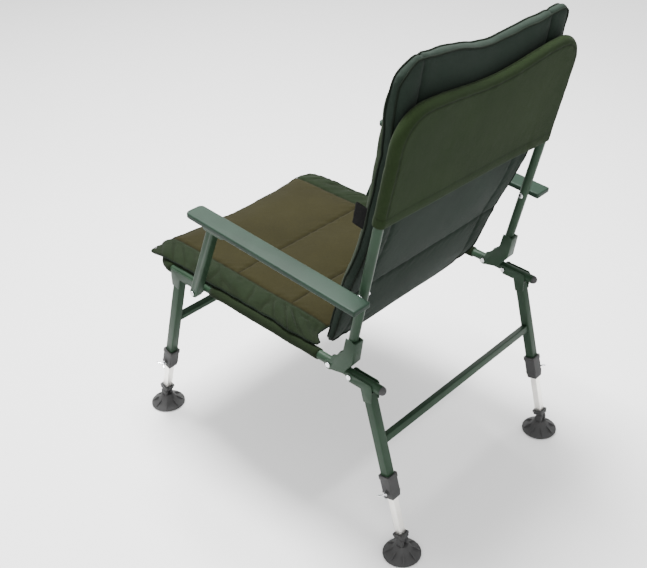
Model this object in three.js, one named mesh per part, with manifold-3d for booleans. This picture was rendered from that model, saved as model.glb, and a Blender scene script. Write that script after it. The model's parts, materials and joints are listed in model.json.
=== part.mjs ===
// Carp fishing chair: a folding tube frame with a padded seat and back, linked armrests and
// four telescopic legs on swivelling mud feet. Millimetres, +Z up, the front towards -Y.
// The origin is on the ground, midway between the four feet.

import * as THREE from "three";
import { mergeVertices } from "three/addons/utils/BufferGeometryUtils.js";
import Module from "manifold-3d";

const wasm = await Module();
wasm.setup();

// Driving sizes of the round tube and of what fits round it.
const TUBE_DIAMETER = 19;
const TUBE_WALL = 1.5;
const SHEET_STEEL = 2;
const FIT = 0.3;
const OVERRUN = 5;

// Seat frame: stations run along the rails from the middle of the chair, rearwards positive.
const RAIL_SPREAD = 510;
const RAIL_HEIGHT = 408;
const RAIL_DROP_DEGREES = 2.7;
const RAIL_REAR = 311;
const RAIL_FRONT = 337;
const RAIL_CORNER = 55;
const BACK_BOLT_STATION = 186;
const REAR_BOLT_STATION = 240;
const FRONT_BOLT_STATION = 180;
const PLUG_HEAD = 9;
const PLUG_STEM = 22;

// Bolts.
const BOLT_DIAMETER = 6;
const BOLT_HEAD_DIAMETER = 11;
const BOLT_HEAD = 3;
const NUT_SIZE = 10;
const NUT_HEIGHT = 4;
const BOLT_TAIL = 1.5;

// Legs: the outer square tube, the inner square tube and the saddle that carries the leg.
const LEG_SIZE = 20;
const LEG_WALL = 1.5;
const LEG_CORNER = 2.5;
const INNER_LEG_SIZE = 15.5;
const INNER_LEG_WALL = 1.5;
const INNER_LEG_CORNER = 1.5;
const INNER_LEG_LENGTH = 200;
const FOOT_SPREAD = 738;
const FOOT_PIN_HEIGHT = 39;
const REAR_LEG_REACH = 36;
const FRONT_LEG_REACH = 77;
const SADDLE_CLEARANCE = 0.8;
const SADDLE_RISE = 8;
const SADDLE_EYE_RADIUS = 9.2;
const SADDLE_LIP = 10;
const SADDLE_SOCKET = 26;
const WEB_START = 13;
const CROSSBAR_SIZE = 15;
const CROSSBAR_WALL = 1.2;
const CROSSBAR_CORNER = 1.5;
const REAR_BAR_HEIGHT = 237;
const FRONT_BAR_HEIGHT = 256;

// Collar and thumb screw, measured up the leg from the foot pin.
const REAR_COLLAR_BOTTOM = 108;
const FRONT_COLLAR_BOTTOM = 94;
const COLLAR_HEIGHT = 54;
const COLLAR_SIZE = 28;
const COLLAR_RIM = 9;
const COLLAR_WAIST = 2;
const COLLAR_TAPER = 16;
const LEG_INSERT = 28;
const SCREW_HEIGHT = 16;
const SCREW_DIAMETER = 6;
const KNOB_HUB_DIAMETER = 10;
const KNOB_HUB_LENGTH = 8;
const WING_SPAN = 27;
const WING_HEIGHT = 11;
const WING_THICKNESS = 2.4;

// Foot: the socket on the inner leg and the disc that tilts on its pin.
const SOCKET_SIZE = 23;
const SOCKET_TOP = 19;
const SOCKET_FLOOR = 9;
const SOCKET_RIM = 4;
const LEG_SEAT = 11;
const TONGUE_WIDTH = 8;
const TONGUE_RADIUS = 6.5;
const PIN_DIAMETER = 5;
const EAR_WIDTH = 6;
const EAR_RADIUS = 8;
const FOOT_DIAMETER = 80;
const FOOT_RIM = 5;
const FOOT_SHOULDER = 11;
const CONE_BASE_DIAMETER = 50;
const CONE_TOP_DIAMETER = 26;
const CONE_HEIGHT = 29;
const FOOT_RIB_HEIGHT = 4;
const FOOT_RIB_WIDTH = 3;
const FOOT_RIBS = 8;

// Back frame: across is square to the leaning back, along is up the back, both from the back bolt.
const BACK_LEAN_DEGREES = 12.8;
const BACK_SET = 36.7;
const BACK_TUBE_START = 47;
const BACK_TUBE_TOP = 571;
const BACK_CORNER = 55;
const BACK_DIP = 14;
const ARM_PIVOT_ALONG = 201.5;
const BRACKET_CLEARANCE = 0.4;
const BRACKET_EYE_RADIUS = 10.8;
const BRACKET_TOP = 92;
const BRACKET_DEPTH = 50;
const BRACKET_WEB = 2.5;

// Armrests and posts.
const POST_SIZE = 20;
const POST_WALL = 1.5;
const POST_CORNER = 2;
const POST_OFFSET = 2.2;
const POST_FOOT = 12;
const POST_TIP_SHIFT = 4;
const ARM_WIDTH = 44;
const ARM_THICKNESS = 12;
const ARM_SLOPE_DEGREES = 5.1;
const ARM_FRONT = 416;
const ARM_REAR = 28;
const ARM_LIFT = 6.2;
const ARM_CORNER = 10;
const ARM_EDGE = 2;
const ARM_BOLT_DEPTH = 26;
const ARM_BRACKET_FRONT = 22;
const ARM_BRACKET_REAR = 41;
const ARM_BRACKET_SHEET = 1.6;
const ARM_BRACKET_WINDOW = 11.5;
const ARM_BRACKET_SKIRT = 14;

// Seat cloth: a sling with a tunnel round each rail, and the quilted pad on it.
const CLOTH = 2.5;
const SLEEVE_REAR = 155;
const SLEEVE_GAP_FRONT = 283;
const SLEEVE_GAP_REAR = 155;
const SLING_REAR = 116;
const PAD_FRONT = 362;
const PAD_FRONT_BOW = 20;
const PAD_REAR = 120;
const PAD_OVERHANG = 7;
const PAD_EDGE = 8;
const PAD_CROWN = 16;
const PAD_ROUNDING = 4;
const PAD_DRAW = 4;
const SEAM_DEPTH = 4.5;
const SEAM_REACH = 11;
const SEAT_SEAM_FRONT = 142;
const SEAT_SEAM_REAR = 17;
const SEAT_BORDER = 66;

// Back pad, hood and tag.
const BACK_PAD_TOP = 629;
const BACK_PAD_OVERHANG = 2;
const BACK_PAD_TAPER = 18;
const BACK_PAD_DEPTH = 44;
const BACK_PAD_EDGE = 22;
const BACK_PAD_ROUNDING = 7;
const BACK_PAD_DIP = 12;
const BACK_PAD_DRAW = 5;
const BACK_BORDER = 67;
const HOOD_HEM = 352;
const HOOD_CLOTH = 1.5;
const TAG_HEIGHT = 60;
const TAG_WIDTH = 27;
const TAG_THICKNESS = 1.6;
const TAG_ALONG = 316;

// Counts of facets.
const TUBE_SIDES = 12;
const BOLT_SIDES = 8;
const ROUND_STEPS = 6;
const FOOT_SIDES = 24;
const BEND_STEPS = 4;
const DIP_STEPS = 8;
const CORNER_STEPS = 2;

// Finishes.
const paint = (color, roughness, metalness) =>
  new THREE.MeshStandardMaterial({ color, roughness, metalness });
const GREEN_PAINT = { color: 0x4a6350, roughness: 0.42, metalness: 0.15 };
const ARM_PAINT = { color: 0x6a8474, roughness: 0.5, metalness: 0.1 };
const BLACK_PLASTIC = { color: 0x1d1c1a, roughness: 0.6, metalness: 0 };
const BRIGHT_STEEL = { color: 0xc9ccce, roughness: 0.3, metalness: 1 };
const BARE_ALUMINIUM = { color: 0xe2e4e6, roughness: 0.35, metalness: 0.9 };
const OLIVE_CLOTH = { color: 0x565231, roughness: 0.95, metalness: 0 };
const GREEN_CLOTH = { color: 0x46593a, roughness: 0.95, metalness: 0 };
const GREY_CLOTH = { color: 0x414a43, roughness: 0.9, metalness: 0 };
const BLACK_CLOTH = { color: 0x161616, roughness: 0.9, metalness: 0 };

const tubeRadius = TUBE_DIAMETER / 2;
const railX = RAIL_SPREAD / 2;
const radians = THREE.MathUtils.degToRad;
const railAngle = radians(RAIL_DROP_DEGREES);
const lean = radians(BACK_LEAN_DEGREES);
const armSlope = radians(ARM_SLOPE_DEGREES);
const saddleInner = tubeRadius + SADDLE_CLEARANCE;
const saddleOuter = saddleInner + SHEET_STEEL;
const bracketInner = tubeRadius + BRACKET_CLEARANCE;
const bracketOuter = bracketInner + SHEET_STEEL;
const boltRadius = BOLT_DIAMETER / 2;
const webTop = -(tubeRadius + FIT);
const webBottom = webTop - SHEET_STEEL;

// Side-plane points are Vector2 with y along the chair and z up.
const railBack = new THREE.Vector2(Math.cos(railAngle), -Math.sin(railAngle));
const station = (along) => railBack.clone().multiplyScalar(along).add({ x: 0, y: RAIL_HEIGHT });

// Turn a geometry's triangles over where it holds a negative volume.
function facingOut(geometry) {
  const flat = geometry.index ? geometry.toNonIndexed() : geometry;
  const spot = flat.getAttribute("position");
  const [a, b, c] = [new THREE.Vector3(), new THREE.Vector3(), new THREE.Vector3()];
  let volume = 0;
  for (let i = 0; i < spot.count; i += 3) {
    a.fromBufferAttribute(spot, i);
    b.fromBufferAttribute(spot, i + 1);
    c.fromBufferAttribute(spot, i + 2);
    volume += a.dot(b.cross(c));
  }
  const merged = new THREE.BufferGeometry();
  merged.setAttribute("position", spot.clone());
  const closed = mergeVertices(merged);
  if (volume < 0) {
    const order = closed.index.array;
    for (let i = 0; i < order.length; i += 3) {
      [order[i], order[i + 1]] = [order[i + 1], order[i]];
    }
  }
  return closed;
}

function solid(geometry) {
  const closed = facingOut(geometry);
  return new wasm.Manifold(
    new wasm.Mesh({
      numProp: 3,
      vertProperties: new Float32Array(closed.getAttribute("position").array),
      triVerts: new Uint32Array(closed.index.array),
    }),
  );
}

function geometryOf(body) {
  const mesh = body.getMesh();
  const geometry = new THREE.BufferGeometry();
  geometry.setAttribute("position", new THREE.BufferAttribute(mesh.vertProperties, 3));
  geometry.setIndex(new THREE.BufferAttribute(mesh.triVerts, 1));
  return geometry;
}

const join = (first, ...others) => others.reduce((body, other) => body.add(other), first);
const cut = (first, ...others) => others.reduce((body, other) => body.subtract(other), first);

function named(name, shape, finish) {
  const geometry = shape.isBufferGeometry ? facingOut(shape) : geometryOf(shape);
  const mesh = new THREE.Mesh(geometry, paint(finish.color, finish.roughness, finish.metalness));
  mesh.name = name;
  return mesh;
}

// Extrude an outline drawn in the side plane from one X to another.
const SIDE_PLANE = new THREE.Matrix4().makeBasis(
  new THREE.Vector3(0, 1, 0),
  new THREE.Vector3(0, 0, 1),
  new THREE.Vector3(1, 0, 0),
);

function plate(shape, low, high) {
  const geometry = new THREE.ExtrudeGeometry(shape, {
    depth: high - low,
    bevelEnabled: false,
    curveSegments: ROUND_STEPS,
  });
  return solid(geometry.applyMatrix4(SIDE_PLANE).translate(low, 0, 0));
}

// A plate on both sides of the chair's middle plane or of a tube.
const slab = (shape, half, middle = 0) => plate(shape, middle - half, middle + half);

function polygon(points) {
  return new THREE.Shape(points.map(([y, z]) => new THREE.Vector2(y, z)));
}

function rectangle(left, right, bottom, top) {
  return polygon([[left, bottom], [right, bottom], [right, top], [left, top]]);
}

function disc(y, z, radius) {
  return new THREE.Shape().absarc(y, z, radius, 0, 2 * Math.PI, false);
}

// A round rod along X.
function rod(radius, low, high, y = 0, z = 0, sides = BOLT_SIDES) {
  const geometry = new THREE.CylinderGeometry(radius, radius, high - low, sides);
  return solid(geometry.rotateZ(Math.PI / 2).translate((low + high) / 2, y, z));
}

// A square outline with rounded corners.
function roundedSquare(size, corner) {
  const half = size / 2;
  const shape = new THREE.Shape();
  shape.moveTo(corner - half, -half);
  shape.lineTo(half - corner, -half);
  shape.absarc(half - corner, corner - half, corner, -Math.PI / 2, 0, false);
  shape.lineTo(half, half - corner);
  shape.absarc(half - corner, half - corner, corner, 0, Math.PI / 2, false);
  shape.lineTo(corner - half, half);
  shape.absarc(corner - half, half - corner, corner, Math.PI / 2, Math.PI, false);
  shape.lineTo(-half, corner - half);
  shape.absarc(corner - half, corner - half, corner, Math.PI, 1.5 * Math.PI, false);
  return shape;
}

// A hollow square tube that stands on the XY plane.
function squareTube(size, wall, corner, length) {
  const section = roundedSquare(size, corner);
  const inside = roundedSquare(size - 2 * wall, Math.max(corner - wall, wall / 2));
  section.holes.push(new THREE.Path(inside.getPoints(CORNER_STEPS)));
  return solid(
    new THREE.ExtrudeGeometry(section, {
      depth: length,
      bevelEnabled: false,
      curveSegments: CORNER_STEPS,
    }),
  );
}

function block(size, corner, bottom, top) {
  const geometry = new THREE.ExtrudeGeometry(roundedSquare(size, corner), {
    depth: top - bottom,
    bevelEnabled: false,
    curveSegments: CORNER_STEPS,
  });
  return solid(geometry.translate(0, 0, bottom));
}

// A path through chosen points, each with the direction of travel there.
class BentPath extends THREE.Curve {
  constructor(points, directions) {
    super();
    this.points = points;
    this.directions = directions;
  }

  get steps() {
    return this.points.length - 1;
  }

  getPoint(share) {
    return this.points[Math.round(share * this.steps)].clone();
  }

  getPointAt(share) {
    return this.getPoint(share);
  }

  getTangentAt(share) {
    return this.directions[Math.round(share * this.steps)].clone();
  }
}

// Half of a U-shaped tube's path, from the open end at +X to the middle of its crosspiece.
// Points are (x, forward); dip is how far the crosspiece's middle falls back.
function halfU(halfWidth, reach, corner, start, dip) {
  const points = [[halfWidth, start]];
  const directions = [[0, 1]];
  for (let i = 0; i <= BEND_STEPS; i += 1) {
    const turn = (i / BEND_STEPS) * (Math.PI / 2);
    points.push([
      halfWidth - corner + corner * Math.cos(turn),
      reach - corner + corner * Math.sin(turn),
    ]);
    directions.push([-Math.sin(turn), Math.cos(turn)]);
  }
  const run = halfWidth - corner;
  const steps = dip ? DIP_STEPS / 2 : 0;
  for (let i = 1; i <= steps; i += 1) {
    const share = i / steps;
    const slope = (dip / run) * (Math.PI / 2) * Math.sin(Math.PI * share);
    points.push([run * (1 - share), reach - (dip / 2) * (1 - Math.cos(Math.PI * share))]);
    directions.push([-1, -slope]);
  }
  return { points, directions };
}

function fullU(halfWidth, reach, corner, start, dip, place) {
  const half = halfU(halfWidth, reach, corner, start, dip);
  const points = half.points.map(([x, forward]) => place(x, forward));
  const directions = half.directions.map(([x, forward]) => place(x, forward).normalize());
  const last = half.points.length - 1;
  for (let i = last; i >= 0; i -= 1) {
    const [x, forward] = half.points[i];
    const [dx, dForward] = half.directions[i];
    if (x !== 0) {
      points.push(place(-x, forward));
      directions.push(place(dx, -dForward).normalize());
    }
  }
  return new BentPath(points, directions);
}

function sweep(path, radius, sides = TUBE_SIDES) {
  const section = new THREE.Shape();
  for (let i = 0; i < sides; i += 1) {
    const turn = (i / sides) * 2 * Math.PI;
    const [x, y] = [radius * Math.cos(turn), radius * Math.sin(turn)];
    if (i === 0) {
      section.moveTo(x, y);
    } else {
      section.lineTo(x, y);
    }
  }
  return solid(new THREE.ExtrudeGeometry(section, { steps: path.steps, extrudePath: path }));
}

// A bolt along X. Its head's underside is at X = 0 and its nut's face at X = -grip.
// A collar, where one is given, fills the space between two of the pieces it passes.
function bolt(headDiameter, grip, collar = null) {
  const head = new THREE.LatheGeometry(
    [
      new THREE.Vector2(0, 0),
      new THREE.Vector2(headDiameter / 2, 0),
      new THREE.Vector2(headDiameter / 2, BOLT_HEAD / 2),
      new THREE.Vector2(headDiameter / 3, BOLT_HEAD),
      new THREE.Vector2(0, BOLT_HEAD),
    ],
    BOLT_SIDES,
  ).rotateZ(-Math.PI / 2);
  const nut = new THREE.CylinderGeometry(
    NUT_SIZE / Math.sqrt(3),
    NUT_SIZE / Math.sqrt(3),
    NUT_HEIGHT,
    6,
  )
    .rotateZ(Math.PI / 2)
    .translate(-grip - NUT_HEIGHT / 2, 0, 0);
  const shank = rod(boltRadius, -grip - NUT_HEIGHT - BOLT_TAIL, BOLT_HEAD / 2);
  const body = join(shank, solid(head), solid(nut));
  return collar ? body.add(rod(collar.radius, collar.low, collar.high)) : body;
}

const flip = (body, side) => (side > 0 ? body : body.scale([-1, 1, 1]));
const SIDES = [["left", 1], ["right", -1]];

// Seat frame, in rail coordinates: x, station, height above the rail's centre line.
const seatFrame = new THREE.Group();
seatFrame.position.z = RAIL_HEIGHT;
seatFrame.rotation.x = -railAngle;

const onRails = (x, forward) => new THREE.Vector3(x, -forward, 0);
const railPath = (start) => fullU(railX, RAIL_FRONT, RAIL_CORNER, -start, 0, onRails);

function boltHoles(stations, radius) {
  const reach = railX + saddleOuter + OVERRUN;
  return stations.map((along) => rod(radius, -reach, reach, along));
}

function makeSeatTube() {
  const path = railPath(RAIL_REAR);
  const bore = railPath(RAIL_REAR + OVERRUN);
  const stations = [BACK_BOLT_STATION, REAR_BOLT_STATION, -FRONT_BOLT_STATION];
  const tube = cut(sweep(path, tubeRadius), sweep(bore, tubeRadius - TUBE_WALL));
  return cut(tube, ...boltHoles(stations, boltRadius + FIT));
}

function makePlug() {
  const stem = tubeRadius - TUBE_WALL - FIT;
  const head = tubeRadius - FIT;
  const profile = [
    new THREE.Vector2(0, -PLUG_STEM),
    new THREE.Vector2(stem, -PLUG_STEM),
    new THREE.Vector2(stem, FIT),
    new THREE.Vector2(head, FIT),
  ];
  for (let i = 0; i <= BEND_STEPS; i += 1) {
    const turn = (i / BEND_STEPS) * (Math.PI / 2);
    const radius = i === BEND_STEPS ? 0 : head * Math.cos(turn);
    profile.push(new THREE.Vector2(radius, 2 * FIT + PLUG_HEAD * Math.sin(turn)));
  }
  return new THREE.LatheGeometry(profile, TUBE_SIDES).translate(0, RAIL_REAR, 0);
}

// The bolt through the hinge bracket, the bolt through the rear saddle, and the longer one
// through the front saddle and the armrest post, with its washer between the two.
const postInner = saddleOuter + POST_OFFSET;
const postOuter = postInner + POST_SIZE;
const postX = railX + postInner + POST_SIZE / 2;

function addSeatBolts() {
  const nutFace = (outer) => 2 * (outer + FIT);
  const washer = {
    radius: BOLT_HEAD_DIAMETER / 2,
    low: saddleOuter + FIT - postOuter - FIT,
    high: postInner - FIT - postOuter - FIT,
  };
  const rows = [
    ["back_hinge_bolt", BACK_BOLT_STATION, bracketOuter, nutFace(bracketOuter), null],
    ["rear_leg_bolt", REAR_BOLT_STATION, saddleOuter, nutFace(saddleOuter), null],
    ["front_leg_bolt", -FRONT_BOLT_STATION, postOuter, postOuter + saddleOuter + 2 * FIT, washer],
  ];
  for (const [word, side] of SIDES) {
    for (const [name, along, outer, grip, collar] of rows) {
      const body = flip(bolt(BOLT_HEAD_DIAMETER, grip, collar), side);
      const mesh = named(`${name}_${word}`, body, BRIGHT_STEEL);
      mesh.position.set(side * (railX + outer + FIT), along, 0);
      seatFrame.add(mesh);
    }
  }
}

// The sling is one cloth with tunnels round the rails and round the front crosspiece.
const slingBottom = tubeRadius + FIT;
const slingTop = slingBottom + CLOTH;

function makeSling() {
  const outer = slingTop;
  const half = railX + outer / 2;
  const front = RAIL_FRONT + outer / 2;
  const corner = RAIL_CORNER + outer / 2;
  const sheet = new THREE.Shape();
  sheet.moveTo(-half, SLING_REAR);
  sheet.lineTo(-half, corner - front);
  sheet.absarc(corner - half, corner - front, corner, Math.PI, 1.5 * Math.PI, false);
  sheet.lineTo(half - corner, -front);
  sheet.absarc(half - corner, corner - front, corner, -Math.PI / 2, 0, false);
  sheet.lineTo(half, SLING_REAR);
  const cloth = new THREE.ExtrudeGeometry(sheet, {
    depth: CLOTH,
    bevelEnabled: false,
    curveSegments: BEND_STEPS,
  }).translate(0, 0, slingBottom);
  const tunnel = sweep(railPath(SLEEVE_REAR), outer);
  const gap = rectangle(-SLEEVE_GAP_FRONT, -SLEEVE_GAP_REAR, -outer - OVERRUN, slingBottom);
  const bore = sweep(railPath(SLEEVE_REAR + OVERRUN), tubeRadius + FIT);
  return cut(join(solid(cloth), tunnel), slab(gap, railX + outer + OVERRUN), bore);
}

// A padded piece: a box of facets whose every point is moved by shape(u, v, w), each -1 to 1.
function cushion([across, along], shape) {
  const geometry = new THREE.BoxGeometry(2, 2, 2, across, along, 2);
  const spot = geometry.getAttribute("position");
  for (let i = 0; i < spot.count; i += 1) {
    const moved = shape(spot.getX(i), spot.getY(i), spot.getZ(i));
    spot.setXYZ(i, moved.x, moved.y, moved.z);
  }
  geometry.deleteAttribute("normal");
  geometry.deleteAttribute("uv");
  return geometry;
}

const PLAN_POWER = 24;
const SEAT_FACETS = [18, 20];
const BACK_FACETS = [18, 22];
const EDGE_POWER = 5;

// How far a plan point is pulled in so that the corners come out round.
const cornerPull = (u, v) => {
  const farthest = Math.max(Math.abs(u), Math.abs(v));
  const spread = (Math.abs(u) ** PLAN_POWER + Math.abs(v) ** PLAN_POWER) ** (1 / PLAN_POWER);
  return farthest > 0 ? farthest / spread : 1;
};
const fullness = (u, v) =>
  Math.sqrt(Math.max(0, (1 - Math.abs(u) ** EDGE_POWER) * (1 - Math.abs(v) ** EDGE_POWER)));

// A facet line that lies nearest to a seam is moved onto it.
const snap = (value, seams, spacing) =>
  seams.find((seam) => Math.abs(value - seam) <= spacing / 2) ?? value;
const groove = (value, seams) =>
  SEAM_DEPTH * Math.max(...seams.map((seam) => Math.max(0, 1 - Math.abs(value - seam) / SEAM_REACH)));

function makeSeatPad() {
  const half = railX + PAD_OVERHANG;
  const seamX = half - SEAT_BORDER;
  const middle = (PAD_REAR - PAD_FRONT) / 2;
  const reach = (PAD_REAR + PAD_FRONT) / 2;
  const bottom = slingTop + FIT;
  const crossSeams = [-SEAT_SEAM_FRONT, SEAT_SEAM_REAR];
  const sideSeams = [-seamX, seamX];
  const [across, along] = SEAT_FACETS;
  return cushion(SEAT_FACETS, (u, v, w) => {
    const pull = cornerPull(u, v);
    const inset = w === 0 ? 0 : PAD_ROUNDING * Math.max(Math.abs(u), Math.abs(v)) ** EDGE_POWER;
    const wide = u * pull * (half - inset - PAD_DRAW * (1 - v * v));
    const x = snap(wide, sideSeams, (2 * half) / across);
    const bow = PAD_FRONT_BOW * (1 - u * u) * Math.max(0, -v) ** EDGE_POWER;
    const long = middle + v * pull * (reach - inset) + bow;
    const y = snap(long, crossSeams, (2 * reach) / along);
    const full = fullness(u, v);
    const sewn = Math.max(groove(x, sideSeams), groove(y, crossSeams)) * full;
    const thickness = PAD_EDGE + (PAD_CROWN - PAD_EDGE) * full - sewn;
    return new THREE.Vector3(x, y, bottom + ((w + 1) / 2) * thickness);
  });
}

seatFrame.add(named("seat_tube", makeSeatTube(), GREEN_PAINT));
for (const [word, side] of SIDES) {
  const plug = named(`tube_plug_${word}`, makePlug(), BLACK_PLASTIC);
  plug.position.x = side * railX;
  seatFrame.add(plug);
}
addSeatBolts();
seatFrame.add(named("seat_sling", makeSling(), GREEN_CLOTH));
seatFrame.add(named("seat_pad", makeSeatPad(), OLIVE_CLOTH));

// One pair of legs. The knee is where the leg's centre line meets the rail's.
function legLayout(end) {
  const boltAt = end > 0 ? REAR_BOLT_STATION : -FRONT_BOLT_STATION;
  const reach = end > 0 ? REAR_LEG_REACH : FRONT_LEG_REACH;
  const knee = station(boltAt + end * reach);
  const pin = new THREE.Vector2((end * FOOT_SPREAD) / 2, FOOT_PIN_HEIGHT);
  const up = knee.clone().sub(pin);
  const tilt = Math.atan2(-up.x, up.y);
  const slant = Math.abs(tilt + railAngle);
  const drop =
    (FIT - webBottom) / Math.cos(slant) + (LEG_SIZE / 2) * Math.tan(slant);
  const collarBottom = end > 0 ? REAR_COLLAR_BOTTOM : FRONT_COLLAR_BOTTOM;
  return { end, boltAt, reach, pin, tilt, slant, collarBottom, top: up.length() - drop };
}

// A pressed channel that straddles the rail from below and carries the leg between its cheeks.
function makeSaddle(layout) {
  const { end, boltAt, reach, slant } = layout;
  const kneeAt = boltAt + end * reach;
  const downY = end * Math.sin(slant);
  const downZ = -Math.cos(slant);
  const onLeg = (down, outward) => [
    kneeAt + down * downY - end * outward * downZ,
    down * downZ + end * outward * downY,
  ];
  const half = LEG_SIZE / 2;
  const armEnd = kneeAt + end * (half + SADDLE_LIP);
  const socket = SADDLE_SOCKET - webBottom;
  const strip = (width, from, to) =>
    polygon([onLeg(from, -width), onLeg(from, width), onLeg(to, width), onLeg(to, -width)]);
  const arm = new THREE.Shape();
  arm.moveTo(boltAt, SADDLE_RISE);
  arm.lineTo(armEnd - end * SADDLE_RISE, SADDLE_RISE);
  arm.quadraticCurveTo(armEnd, SADDLE_RISE, armEnd, 0);
  arm.quadraticCurveTo(armEnd, webBottom, ...onLeg(socket, half));
  arm.lineTo(...onLeg(-webBottom, 0));
  arm.lineTo(boltAt, webBottom);
  const outside = join(
    slab(arm, saddleOuter),
    slab(disc(boltAt, 0, SADDLE_EYE_RADIUS), saddleOuter),
    slab(strip(half, 0, socket), saddleOuter),
  );
  const farLeft = Math.min(boltAt, armEnd) - 2 * SADDLE_EYE_RADIUS;
  const farRight = Math.max(boltAt, armEnd) + 2 * SADDLE_EYE_RADIUS;
  const channel = rectangle(farLeft, farRight, webTop, SADDLE_RISE + OVERRUN);
  const webEdge = boltAt + end * WEB_START;
  const openEye = rectangle(
    Math.min(webEdge, boltAt - end * 2 * SADDLE_EYE_RADIUS),
    Math.max(webEdge, boltAt - end * 2 * SADDLE_EYE_RADIUS),
    webBottom - SADDLE_EYE_RADIUS,
    webTop + OVERRUN,
  );
  const belowWeb = rectangle(farLeft, farRight, webBottom - 2 * socket, webBottom);
  return cut(
    outside,
    slab(channel, saddleInner),
    slab(openEye, saddleInner),
    slab(belowWeb, saddleInner),
    rod(boltRadius + FIT, -saddleOuter - OVERRUN, saddleOuter + OVERRUN, boltAt),
  );
}

function makeLeg(layout) {
  const bottom = layout.collarBottom + COLLAR_HEIGHT - LEG_INSERT;
  return squareTube(LEG_SIZE, LEG_WALL, LEG_CORNER, layout.top - bottom).translate([0, 0, bottom]);
}

function makeCrossbar(height, shift) {
  const length = RAIL_SPREAD - LEG_SIZE - 2 * FIT;
  return squareTube(CROSSBAR_SIZE, CROSSBAR_WALL, CROSSBAR_CORNER, length)
    .translate([0, 0, -length / 2])
    .rotate([0, 90, 0])
    .translate([0, shift, height]);
}

// The collar holds the outer leg in its top and guides the inner leg in its bottom.
function makeCollar({ collarBottom }) {
  const top = collarBottom + COLLAR_HEIGHT;
  const waist = COLLAR_SIZE - 2 * COLLAR_WAIST;
  const rim = block(COLLAR_SIZE, LEG_CORNER, top - COLLAR_RIM, top);
  const body = block(waist + COLLAR_WAIST, LEG_CORNER, collarBottom + COLLAR_TAPER, top);
  const nose = new THREE.CylinderGeometry(
    (waist + COLLAR_WAIST) / Math.SQRT2,
    (waist - COLLAR_WAIST) / Math.SQRT2,
    COLLAR_TAPER,
    4,
  )
    .rotateY(Math.PI / 4)
    .rotateX(Math.PI / 2)
    .translate(0, 0, collarBottom + COLLAR_TAPER / 2);
  const boss = rod(
    KNOB_HUB_DIAMETER / 2 + COLLAR_WAIST,
    0,
    COLLAR_SIZE / 2,
    0,
    collarBottom + SCREW_HEIGHT,
  );
  const upper = block(LEG_SIZE + 2 * FIT, LEG_CORNER, top - LEG_INSERT - FIT, top + OVERRUN);
  const lower = block(
    INNER_LEG_SIZE + 2 * FIT,
    INNER_LEG_CORNER,
    collarBottom - OVERRUN,
    top - LEG_INSERT + OVERRUN,
  );
  const screwHole = rod(
    SCREW_DIAMETER / 2 + FIT,
    0,
    COLLAR_SIZE,
    0,
    collarBottom + SCREW_HEIGHT,
  );
  return cut(join(rim, body, solid(nose), boss), upper, lower, screwHole);
}

// A wing screw along X: its hub's face is at X = 0 and its tip reaches the inner leg.
function makeThumbScrew() {
  const tip = INNER_LEG_SIZE / 2 + FIT - COLLAR_SIZE / 2 - FIT;
  const hub = KNOB_HUB_DIAMETER / 2;
  const wing = new THREE.Shape();
  wing.moveTo(0, -hub / 2);
  wing.lineTo(KNOB_HUB_LENGTH, -hub / 2);
  wing.quadraticCurveTo(WING_HEIGHT, -WING_SPAN / 2, WING_HEIGHT + hub, -WING_SPAN / 2);
  wing.quadraticCurveTo(WING_HEIGHT + hub, -hub, KNOB_HUB_LENGTH, 0);
  wing.quadraticCurveTo(WING_HEIGHT + hub, hub, WING_HEIGHT + hub, WING_SPAN / 2);
  wing.quadraticCurveTo(WING_HEIGHT, WING_SPAN / 2, KNOB_HUB_LENGTH, hub / 2);
  wing.lineTo(0, hub / 2);
  const blade = new THREE.ExtrudeGeometry(wing, {
    depth: WING_THICKNESS,
    bevelEnabled: false,
    curveSegments: CORNER_STEPS + 1,
  }).translate(0, 0, -WING_THICKNESS / 2);
  return join(
    rod(SCREW_DIAMETER / 2, tip, KNOB_HUB_LENGTH / 2),
    rod(hub, 0, KNOB_HUB_LENGTH),
    solid(blade),
  );
}

function makeInnerLeg() {
  return squareTube(INNER_LEG_SIZE, INNER_LEG_WALL, INNER_LEG_CORNER, INNER_LEG_LENGTH).translate([
    0,
    0,
    LEG_SEAT + FIT,
  ]);
}

// The socket grips the inner leg's end and carries the pin's tongue below it.
function makeFootSocket() {
  const sleeve = block(SOCKET_SIZE, LEG_CORNER, SOCKET_FLOOR, SOCKET_TOP - SOCKET_RIM);
  const rim = block(SOCKET_SIZE + SOCKET_RIM / 2, LEG_CORNER, SOCKET_TOP - SOCKET_RIM, SOCKET_TOP);
  const tongue = join(
    slab(disc(0, 0, TONGUE_RADIUS), TONGUE_WIDTH / 2),
    slab(
      rectangle(-TONGUE_RADIUS, TONGUE_RADIUS, 0, SOCKET_FLOOR + FIT),
      TONGUE_WIDTH / 2,
    ),
  );
  const pocket = block(INNER_LEG_SIZE + 2 * FIT, INNER_LEG_CORNER, LEG_SEAT, SOCKET_TOP + OVERRUN);
  const pinHole = rod(PIN_DIAMETER / 2 + FIT, -SOCKET_SIZE, SOCKET_SIZE);
  return cut(join(sleeve, rim, tongue), pocket, pinHole);
}

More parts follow.
